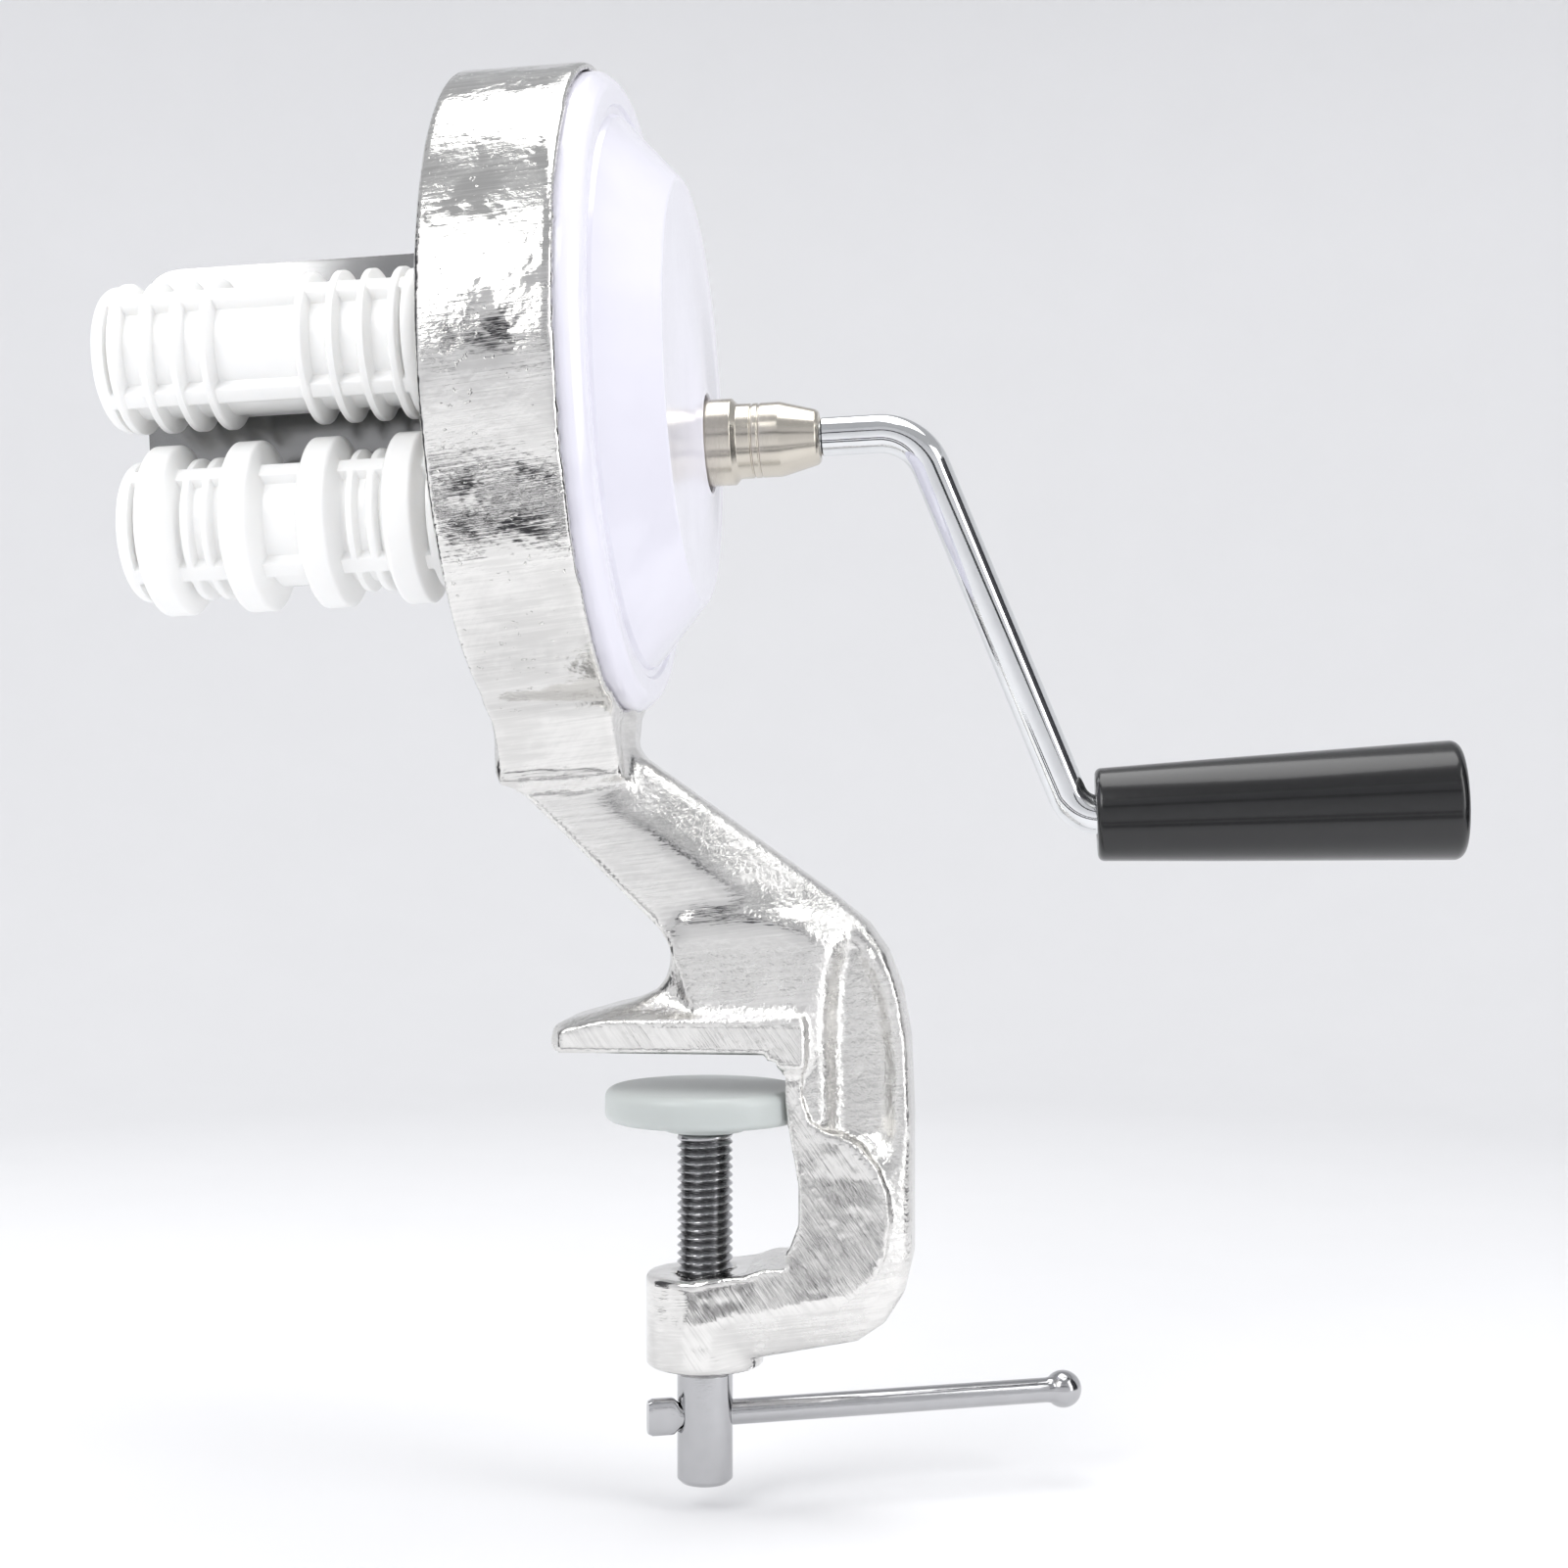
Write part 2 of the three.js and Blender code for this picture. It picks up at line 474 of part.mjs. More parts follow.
const rollers = [
  { name: "upper", z: ROLLER.upperZ, x: ROLLER.upperX, shape: upperRoller(), phase: UPPER_PHASE, pinionEnd: 16 },
  { name: "lower", z: ROLLER.lowerZ, x: ROLLER.lowerX, shape: lowerRoller(), phase: LOWER_PHASE, pinionEnd: 24 },
];
for (const { name, z, x, shape, phase, pinionEnd } of rollers) {
  add(head, `${name}_roller`, shape, rollerNylon, x, ROLLER.y, z);
  add(head, `${name}_axle`, axle(x + 4.5, pinionEnd + 3), steel, 0, ROLLER.y, z);
  add(head, `${name}_pinion`, gear(PINION_TEETH, PINION_PITCH_R, phase, PLANE_A.x, pinionEnd, AXLE_R),
    gearNylon, 0, ROLLER.y, z);
  add(head, `${name}_bush`, bush(AXLE_R + 0.08, 6.7), bronze, 0, ROLLER.y, z);
  add(head, `${name}_washer`, sleeve(AXLE_R + GAP, 7.5, 7.4, 8.2, "x", 24), steel, 0, ROLLER.y, z);
  add(head, `${name}_clip`, snapRing(AXLE_R + 0.15, 6.5, 1), steel, pinionEnd + 0.6, ROLLER.y, z);
}

const crank = new THREE.Group();
crank.position.set(SHAFT.end + GAP, ...driveAxis);
head.add(crank);
add(crank, "crank_rod", crankRod(), chrome);
add(crank, "grip_sleeve", gripSleeve(), blackPlastic, 0, 0, -CRANK.drop);
add(crank, "grip_washer", gripWasher(), steel, 0, 0, -CRANK.drop);
add(crank, "grip_cap", gripCap(), blackPlastic, 0, 0, -CRANK.drop);

add(machine, "clamp_screw", clampScrew(), steel);
add(machine, "clamp_pad", clampPad(), padNylon);
add(machine, "pad_clip", padClip(), steel);
const bar = add(machine, "tommy_bar", tommyBar(), steel, 0, 0, SCREW.barZ);
bar.rotation.z = deg(BAR.angle);

export default machine;
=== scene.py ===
"""Builds the looks of a table-clamp twin-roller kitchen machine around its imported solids, as an add-on."""

import json

import bmesh
import bpy
import numpy as np
import openvdb
from mathutils import Matrix, Vector

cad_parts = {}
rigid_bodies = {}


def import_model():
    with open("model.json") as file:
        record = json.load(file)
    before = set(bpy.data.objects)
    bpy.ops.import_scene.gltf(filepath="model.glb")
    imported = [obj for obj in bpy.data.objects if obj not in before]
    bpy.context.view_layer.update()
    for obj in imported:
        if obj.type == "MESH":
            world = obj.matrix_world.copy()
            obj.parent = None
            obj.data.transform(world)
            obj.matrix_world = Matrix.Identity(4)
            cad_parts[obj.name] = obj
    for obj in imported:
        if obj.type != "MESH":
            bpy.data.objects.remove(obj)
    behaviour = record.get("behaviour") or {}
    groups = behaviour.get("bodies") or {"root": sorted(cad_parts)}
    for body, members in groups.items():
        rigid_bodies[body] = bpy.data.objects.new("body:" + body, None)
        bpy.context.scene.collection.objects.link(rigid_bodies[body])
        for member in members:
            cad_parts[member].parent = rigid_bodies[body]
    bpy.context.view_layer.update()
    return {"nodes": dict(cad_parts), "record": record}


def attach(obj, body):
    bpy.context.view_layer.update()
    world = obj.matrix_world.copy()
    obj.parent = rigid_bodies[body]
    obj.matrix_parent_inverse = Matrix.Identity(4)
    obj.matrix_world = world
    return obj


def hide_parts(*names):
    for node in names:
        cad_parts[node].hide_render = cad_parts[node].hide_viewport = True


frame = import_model()

bl_info = {
    "name": "Twin-roller kitchen machine",
    "version": (1, 0, 0),
    "blender": (4, 5, 0),
    "location": "3D View > Sidebar > Kitchen machine",
    "description": "Builds the cast clamp, gear case, rollers, crank and studio of a hand-cranked machine",
    "category": "Add Mesh",
}

MM = 0.001
TURN = 2 * np.pi


def length(name, description, default):
    """A size in millimetres for a property group."""
    return bpy.props.FloatProperty(name=name, description=description, default=default, min=0.0, precision=3)


def place(name, description, default):
    """A signed position in millimetres for a property group."""
    return bpy.props.FloatProperty(name=name, description=description, default=default, precision=3)


def angle(name, description, degrees):
    """An angle for a property group."""
    return bpy.props.FloatProperty(
        name=name, description=description, default=np.radians(degrees), subtype="ANGLE"
    )


def colour(name, description, default):
    """A linear colour for a property group."""
    return bpy.props.FloatVectorProperty(
        name=name, description=description, default=default, size=3, min=0.0, max=1.0, subtype="COLOR"
    )


class HeadSizes(bpy.types.PropertyGroup):
    """Where the ring stands, and the sizes of its case, shaft and rollers, in millimetres."""

    x: place("Ring X", "Centre of the ring's roller side along X", -45.4)
    z: place("Ring Z", "Height of the ring's centre over the jaw", 137.2)
    tilt: angle("Tilt", "How far the ring's axis rises towards the crank", 2.47)
    ring: length("Ring radius", "Outer radius of the ring", 69.0)
    bore: length("Bore radius", "Inner radius of the ring's gear chamber", 62.5)
    seat: length("Seat radius", "Radius of the recess that holds the lid", 67.4)
    depth: length("Ring depth", "Length of the ring along its axis", 26.6)
    drive_y: place("Drive Y", "The drive shaft's axis away from the ring's", 19.82)
    drive_z: place("Drive Z", "The drive shaft's axis over the ring's", -8.0)
    roller_y: place("Roller Y", "Both rollers' axes in front of the ring's", -30.0)
    upper_z: place("Upper roller Z", "The upper roller's axis over the ring's", 8.7)
    lower_z: place("Lower roller Z", "The lower roller's axis over the ring's", -26.8)
    upper_start: place("Upper roller start", "The upper roller's free end along the axis", -72.5)
    lower_start: place("Lower roller start", "The lower roller's free end along the axis", -69.0)
    roller_length: length("Roller length", "Length of each roller", 67.0)
    core: length("Core radius", "Radius of the rollers between their ribs", 12.4)


class HandleSizes(bpy.types.PropertyGroup):
    """Sizes of the crank and its grip, in millimetres from the end of the drive shaft."""

    shaft_end: length("Shaft end", "Where the crank leaves the drive shaft, along the ring's axis", 68.2)
    rod: length("Rod radius", "Radius of the bent rod", 4.25)
    rod_end: length("Rod end", "Where the rod ends inside the grip", 126.5)
    screwed_in: length("Screwed in", "Length of the rod's threaded end", 15.5)
    pitch: length("Pitch", "Rise of the rod's thread in one turn", 1.25)
    bend: length("First corner", "Distance from the shaft to the rod's first corner", 20.9)
    lean: angle("Lean", "How far the arm leans outwards", 20)
    drop: length("Throw", "Distance between the shaft's and the grip's axes", 85.4)
    start: length("Grip start", "Where the grip begins along its axis", 56.3)
    end: length("Grip end", "Where the grip ends along its axis", 134.0)


class ClampSizes(bpy.types.PropertyGroup):
    """Sizes of the clamp's screw, pad and bar, in millimetres from the jaw."""

    thread: length("Thread radius", "Outer radius of the clamp screw's thread", 5.93)
    pitch: length("Pitch", "Rise of the clamp screw's thread in one turn", 1.75)
    head_top: place("Head top", "Top of the screw's plain head", -68.4)
    head_bottom: place("Head bottom", "Bottom of the screw's plain head", -92.3)
    pad: length("Pad radius", "Radius of the swivelling pad", 21.2)
    bar: length("Bar radius", "Radius of the bar", 2.7)
    bar_z: place("Bar height", "Height of the bar's axis", -78.0)
    bar_angle: angle("Bar angle", "Direction of the bar at rest", 21.1)


class Colours(bpy.types.PropertyGroup):
    """The linear colour of each finish."""

    aluminium: colour("Cast aluminium", "The casting", (0.80, 0.79, 0.77))
    cover: colour("Cover plastic", "The gear case's lid", (0.74, 0.73, 0.81))
    nylon: colour("Roller nylon", "Both rollers", (0.93, 0.93, 0.92))
    nickel: colour("Nickel", "The drive shaft", (0.64, 0.60, 0.53))
    chrome: colour("Chrome", "The crank", (0.78, 0.79, 0.80))
    steel: colour("Steel", "The clamp screw and its bar", (0.46, 0.46, 0.47))
    # darker than bright stainless, as painted shade, so that the guard reads dark in the nip between the
    # rollers
    stainless: colour("Stainless", "The guard", (0.30, 0.30, 0.30))
    black: colour("Black plastic", "The grip", (0.008, 0.008, 0.009))
    pad: colour("Pad nylon", "The clamp's pad", (0.50, 0.53, 0.52))
    bronze: colour("Bronze", "The bushes", (0.45, 0.31, 0.16))
    floor: colour("Floor", "The studio's floor and wall", (0.86, 0.86, 0.87))


class MachineSettings(bpy.types.PropertyGroup):
    """All of the machine's settings."""

    head: bpy.props.PointerProperty(name="Head", description="Sizes of the head", type=HeadSizes)
    handle: bpy.props.PointerProperty(name="Crank", description="Sizes of the crank", type=HandleSizes)
    clamp: bpy.props.PointerProperty(name="Clamp", description="Sizes of the clamp", type=ClampSizes)
    colours: bpy.props.PointerProperty(name="Colours", description="The finishes' colours", type=Colours)


# ---- shader arithmetic ------------------------------------------------------------------------------


class Wire:
    """A socket's value in a material, which can be used in arithmetic."""

    def __init__(self, shade, socket):
        self.shade = shade
        self.socket = socket

    def _math(self, operation, *values):
        return self.shade.add("ShaderNodeMath", {"operation": operation}, *values)

    def __add__(self, other):
        return self._math("ADD", self, other)

    def __sub__(self, other):
        return self._math("SUBTRACT", self, other)

    def __rsub__(self, other):
        return self._math("SUBTRACT", other, self)

    def __mul__(self, other):
        return self._math("MULTIPLY", self, other)

    __radd__ = __add__
    __rmul__ = __mul__

    def ramp(self, low, high):
        """0 at low, 1 at high, and smooth between."""
        smooth = {"interpolation_type": "SMOOTHSTEP"}
        return self.shade.add("ShaderNodeMapRange", smooth, self, low, high, 0.0, 1.0)


class Shade:
    """A material's node tree, with one method that adds any node."""

    def __init__(self, name):
        self.material = bpy.data.materials.new(name)
        self.material.use_nodes = True
        self.tree = self.material.node_tree
        self.shader = self.tree.nodes["Principled BSDF"]

    def put(self, socket, value):
        if isinstance(value, Wire):
            self.tree.links.new(value.socket, socket)
        elif socket.type == "RGBA" and len(value) == 3:
            socket.default_value = (*value, 1.0)
        else:
            socket.default_value = value

    def add(self, kind, settings, *values, output=0, **named):
        """A new node's output: its settings are set first, then its inputs by order or by name."""
        node = self.tree.nodes.new(kind)
        for key, value in settings.items():
            setattr(node, key, value)
        for socket, value in zip(node.inputs, values):
            self.put(socket, value)
        for key, value in named.items():
            self.put(node.inputs[key.replace("_", " ")], value)
        return Wire(self, node.outputs[output])

    def position(self, stretch=(1.0, 1.0, 1.0), turn=(0.0, 0.0, 0.0)):
        """Object coordinates in millimetres, turned and then stretched."""
        coordinates = self.add("ShaderNodeTexCoord", {}, output="Object")
        by_angles = {"rotation_type": "EULER_XYZ"}
        turned = self.add("ShaderNodeVectorRotate", by_angles, Vector=coordinates, Rotation=turn)
        scale = tuple(s / MM for s in stretch)
        return self.add("ShaderNodeVectorMath", {"operation": "MULTIPLY"}, turned, scale)

    def noise(self, scale, detail=3.0, vector=None, roughness=0.5):
        """Smooth noise from 0 to 1; scale is in features to the millimetre."""
        sockets = {"Scale": scale, "Detail": detail, "Roughness": roughness}
        return self.add("ShaderNodeTexNoise", {}, Vector=vector or self.position(), **sockets)

    def cells(self, scale):
        """Distance to the nearest cell centre, for pebbled skins."""
        return self.add("ShaderNodeTexVoronoi", {}, Vector=self.position(), Scale=scale)

    def attribute(self, name):
        """A number painted on the mesh."""
        return self.add("ShaderNodeAttribute", {"attribute_name": name}, output="Fac")

    def mix(self, factor, first, second):
        """A colour between two others."""
        node = self.tree.nodes.new("ShaderNodeMix")
        node.data_type = "RGBA"
        sockets = {s.identifier: s for s in node.inputs}
        self.put(sockets["Factor_Float"], factor)
        self.put(sockets["A_Color"], first)
        self.put(sockets["B_Color"], second)
        return Wire(self, next(s for s in node.outputs if s.identifier == "Result_Color"))

    def bump(self, height, depth_mm):
        """A bumped normal: height from 0 to 1 stands for that depth."""
        normal = self.add("ShaderNodeBump", {}, Strength=1.0, Distance=depth_mm * MM, Height=height)
        self.put(self.shader.inputs["Normal"], normal)

    def set(self, **values):
        """Sets the shader's own sockets and gives the material back."""
        for key, value in values.items():
            self.put(self.shader.inputs[key.replace("_", " ")], value)
        return self.material


def shaded(rgb, factor):
    """A colour made darker or lighter."""
    return tuple(min(1.0, c * factor) for c in rgb)


# ---- finishes ---------------------------------------------------------------------------------------


def cast_finish(rgb):
    """Aluminium: filed and milled to a shine, pebbled where the file did not reach, with a few pits."""
    s = Shade("cast aluminium")
    skin, milled, ring = s.attribute("skin"), s.attribute("milled"), s.attribute("ring")
    pebble = s.cells(0.6) * 0.4 + s.noise(1.2, 4.0) * 0.6
    filed = s.noise(1.0, 3.0, s.position((0.07, 0.25, 1.7), (0.0, np.radians(7), 0.0)), 0.6)
    across = (np.radians(20), np.radians(38), 0.0)
    crossed = s.noise(1.0, 3.0, s.position((0.16, 0.16, 1.5), across), 0.6)
    milling = s.noise(1.0, 3.0, s.position((1.7, 0.1, 0.06), (0.0, np.radians(35), 0.0)), 0.6)
    waves = s.noise(0.09, 2.0)
    worn = s.noise(0.06, 4.0, roughness=0.6).ramp(0.42, 0.6)
    pits = s.noise(0.5, 3.0).ramp(0.67, 0.71) * ring
    cast = skin * (1.0 - ring)
    lines = milling * milled + (filed * 0.7 + crossed * 0.3 * worn) * (1.0 - milled)
    cut = lines * (0.08 + worn * 0.2) * (1.0 - cast * 0.85)
    tone = s.mix(lines.ramp(0.28, 0.6), shaded(rgb, 0.88), shaded(rgb, 1.05))
    s.bump(pebble * (cast * 0.6 + ring * worn * 0.2) + cut + waves * 1.1 - pits * 0.7, 0.42)
    rough = 0.1 + cast * 0.14 + (lines - 0.5) * 0.2 + worn * 0.06
    return s.set(Base_Color=tone, Metallic=1.0, Roughness=rough)


def plastic_finish(name, rgb, roughness, coat, grain_mm, subsurface=0.0):
    """Moulded plastic with a faint waviness, fine scuffs and a little colour variation."""
    s = Shade(name)
    broad = s.noise(0.06, 2.0)
    scuff = s.noise(2.2, 5.0, roughness=0.7)
    s.bump(s.noise(0.25, 3.0) * 0.7 + scuff * 0.3, grain_mm)
    s.set(Base_Color=s.mix(broad, shaded(rgb, 0.94), shaded(rgb, 1.04)))
    s.set(Roughness=roughness + (scuff - 0.5) * 0.16, Coat_Weight=coat, Coat_Roughness=0.06)
    if subsurface:
        s.set(Subsurface_Weight=subsurface, Subsurface_Radius=(1.0, 0.95, 0.9), Subsurface_Scale=0.003)
    return s.material


def metal_finish(name, rgb, roughness, lines, stretch, depth_mm=0.02):
    """Bright metal with drawn or turned lines, which run the way that stretch is smallest."""
    s = Shade(name)
    drawn = s.noise(1.0, 4.0, s.position(stretch), 0.7)
    wear = s.noise(0.12, 4.0)
    s.bump(drawn * lines + wear * 0.1, depth_mm)
    rough = roughness + (drawn - 0.5) * 0.2 * lines + (wear - 0.5) * 0.08
    tone = s.mix(wear, shaded(rgb, 0.9), shaded(rgb, 1.08))
    return s.set(Base_Color=tone, Metallic=1.0, Roughness=rough)


def thread_finish(rgb):
    """Steel with painted shade in the thread's roots, where the colour falls to a quarter of the steel's; its
    crests and the turned head keep a bright colour.
    """
    s = Shade("screw steel")
    root = s.attribute("root")
    drawn = s.noise(1.0, 4.0, s.position((0.4, 0.4, 5.0)), 0.7)
    stain = s.noise(0.3, 5.0)
    # painted shade: the colour darkens from 1.15 towards 0.25 times the steel's as the root mask deepens; the
    # stain noise adds a little random darkening
    tone = s.mix(root * 0.8 + stain * 0.15, shaded(rgb, 1.15), shaded(rgb, 0.25))
    s.bump(drawn, 0.015)
    rough = 0.1 + root * 0.2 + (drawn - 0.5) * 0.1
    return s.set(Base_Color=tone, Metallic=1.0, Roughness=rough)


def finishes(c):
    """Every finish by the name of the record's material slot."""
    along_head = (0.1, 3.0, 3.0)
    round_head = (5.0, 0.15, 0.15)
    rolled = (0.15, 1.0, 5.0)
    even = (2.0, 2.0, 2.0)
    return {
        "cast_aluminium": cast_finish(c.aluminium),
        "cover_plastic": plastic_finish("cover plastic", c.cover, 0.2, 0.5, 0.05),
        "roller_plastic": plastic_finish("roller nylon", c.nylon, 0.34, 0.15, 0.05, 0.35),
        "gear_plastic": plastic_finish("gear plastic", shaded(c.nylon, 0.9), 0.45, 0.0, 0.04),
        "pad_plastic": plastic_finish("pad nylon", c.pad, 0.38, 0.1, 0.06, 0.5),
        "black_plastic": plastic_finish("black plastic", shaded(c.black, 0.6), 0.24, 0.25, 0.03),
        "nickel_plate": metal_finish("nickel plate", c.nickel, 0.2, 0.9, round_head),
        "chrome_plate": metal_finish("chrome plate", c.chrome, 0.07, 0.25, along_head, 0.01),
        "stainless_sheet": metal_finish("stainless sheet", c.stainless, 0.17, 0.6, rolled, 0.01),
        "small_steel": metal_finish("bright steel", c.steel, 0.25, 0.6, even),
        "bronze": metal_finish("bronze", c.bronze, 0.38, 0.6, even),
        "screw_steel": thread_finish(c.steel),
    }


# ---- surfaces ---------------------------------------------------------------------------------------


def head_matrix(head):
    """Takes head coordinates (along the ring's axis, across, up) to the row frame, in millimetres."""
    return np.array(Matrix.Translation((head.x, 0.0, head.z)) @ Matrix.Rotation(-head.tilt, 4, "Y"))


def moved(points, matrix):
    """Points taken through a matrix of four rows."""
    return points @ matrix[:3, :3].T + matrix[:3, 3]


def rounded(corners, steps=8):
    """A path through corners (a, b, radius), in which each corner with a radius is an arc."""
    path = []
    for i, (a, b, radius) in enumerate(corners):
        here = np.array([a, b])
        if radius == 0 or i in (0, len(corners) - 1):
            path.append(here)
            continue
        before = np.array(corners[i - 1][:2]) - here
        after = np.array(corners[i + 1][:2]) - here
        u, v = before / np.hypot(*before), after / np.hypot(*after)
        half = np.arccos(np.clip(u @ v, -1, 1)) / 2
        reach = radius / np.tan(half)
        centre = here + (u + v) / np.hypot(*(u + v)) * radius / np.sin(half)
        p, q = here + u * reach - centre, here + v * reach - centre
        swing = np.arctan2(p[0] * q[1] - p[1] * q[0], p @ q)
        for t in np.linspace(0, swing, steps + 1):
            turned = np.array([p[0] * np.cos(t) - p[1] * np.sin(t), p[0] * np.sin(t) + p[1] * np.cos(t)])
            path.append(centre + turned)
    return np.array(path)


def mend(mesh, merge=0.0, outwards=True):
    """Merges vertices closer than a distance in metres, and turns the faces outwards."""
    work = bmesh.new()
    work.from_mesh(mesh)
    if merge:
        bmesh.ops.remove_doubles(work, verts=work.verts, dist=merge)
    if outwards:
        bmesh.ops.recalc_face_normals(work, faces=work.faces)
    work.to_mesh(mesh)
    work.free()


def skin_mesh(name, rows, closed_rows=False, caps=False):
    """A mesh over a grid of points rows[i, j]: round in j, and in i closed, capped or open."""
    m, n = rows.shape[:2]
    points = rows.reshape(-1, 3)
    i = np.arange(m if closed_rows else m - 1)[:, None]
    j = np.arange(n)[None, :]
    next_i, next_j = (i + 1) % m, (j + 1) % n
    quads = np.stack([i * n + j, i * n + next_j, next_i * n + next_j, next_i * n + j], -1).reshape(-1, 4)
    faces = quads.tolist()
    if caps:
        faces.append(list(range(n))[::-1])
        faces.append(list(range((m - 1) * n, m * n)))
    mesh = bpy.data.meshes.new(name)
    mesh.from_pydata((points * MM).tolist(), [], faces)
    mend(mesh, merge=1e-7)
    return mesh


def add_object(name, data):
    """A new object in the scene."""
    made = bpy.data.objects.new(name, data)
    bpy.context.scene.collection.objects.link(made)
    return made


def show(name, mesh, material, body, node, sharp=np.radians(40)):
    """Puts a finished mesh in the scene in place of the solid that it stands for."""
    mesh.materials.clear()
    mesh.materials.append(material)
    mesh.shade_smooth()
    mesh.set_sharp_from_angle(angle=sharp)
    piece = add_object(name.replace(" ", "_") + "_skin", mesh)
    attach(piece, body)
    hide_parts(node)


def lathe(profile, segments=128, axis="x", centre=(0.0, 0.0)):
    """Rings of points round an axis, one for each profile point (along, radius), about a centre across it."""
    turn = np.arange(segments) * TURN / segments
    along, radius = np.asarray(profile, float).T[:, :, None]
    first = centre[0] + radius * np.cos(turn)
    second = centre[1] + radius * np.sin(turn)
    along = along + 0 * turn
    order = (along, first, second) if axis == "x" else (first, second, along)
    return np.stack(order, -1)


def paint(mesh, name, values):
    """Stores one number for each vertex, for a material to read."""
    layer = mesh.attributes.new(name, "FLOAT", "POINT")
    layer.data.foreach_set("value", np.asarray(values, np.float32))


def coordinates(mesh):
    """Every vertex of a mesh, in millimetres."""
    flat = np.empty(len(mesh.vertices) * 3, np.float32)
    mesh.vertices.foreach_get("co", flat)
    return flat.reshape(-1, 3).astype(float) / MM


def with_modifiers(mesh, *modifiers):
    """A mesh with modifiers applied; each is (type, settings)."""
    holder = add_object("holder", mesh)
    for kind, settings in modifiers:
        modifier = holder.modifiers.new(kind, kind)
        for key, value in settings.items():
            setattr(modifier, key, value)
    made = bpy.data.meshes.new_from_object(holder.evaluated_get(bpy.context.evaluated_depsgraph_get()))
    bpy.data.objects.remove(holder)
    return made


def solid_copy(node):
    """A copy of a solid's mesh with its doubled vertices merged."""
    mesh = frame["nodes"][node].data.copy()
    mend(mesh, merge=1e-6, outwards=False)
    return mesh


def bar_matrix(clamp):
    """Takes the bar's own coordinates to the row frame, in millimetres."""
    return np.array(Matrix.Translation((0, 0, clamp.bar_z)) @ Matrix.Rotation(clamp.bar_angle, 4, "Z"))


MADE_FINISHES = {}


class Build:
    """What every operator shares: the settings and the finishes."""

    bl_options = {"REGISTER", "UNDO"}

    def settings(self):
        """The scene's sizes and colours."""
        return bpy.context.scene.kitchen_machine

    def finish(self, slot):
        """The material of a slot; all are made on the first call."""
        if not MADE_FINISHES:
            MADE_FINISHES.update(finishes(self.settings().colours))
        return MADE_FINISHES[slot]


def both(first, second, blend):
    """Where two distance fields are both negative, with their meeting edge rounded over blend millimetres."""
    mix = np.maximum(blend - np.abs(first - second), 0) / blend
    return np.maximum(first, second) + mix * mix * blend / 4


def either(first, second, blend):
    """Where either of two distance fields is negative, with a fillet over blend millimetres."""
    return -both(-first, -second, blend)


def nearest_edge(x, z, points, closed=True):
    """Distance in a plane to a path through points, and the sign that is -1 inside a closed one."""
    points = np.array(points, float)
    distance = np.full(x.shape, np.inf)
    sign = np.ones(x.shape)
    pairs = zip(points, np.roll(points, -1, 0)) if closed else zip(points[:-1], points[1:])
    for (ax, az), (bx, bz) in pairs:
        ex, ez, wx, wz = bx - ax, bz - az, x - ax, z - az
        t = np.clip((wx * ex + wz * ez) / (ex * ex + ez * ez), 0, 1)
        distance = np.minimum(distance, np.hypot(wx - t * ex, wz - t * ez))
        above, below = z >= az, z < bz
        left = ex * wz > ez * wx
        sign = np.where((above & below & left) | (~above & ~below & ~left), -sign, sign)
    return distance, sign


def inside(x, z, points):
    """Signed distance to a closed outline, negative inside."""
    distance, sign = nearest_edge(x, z, points)
    return distance * sign


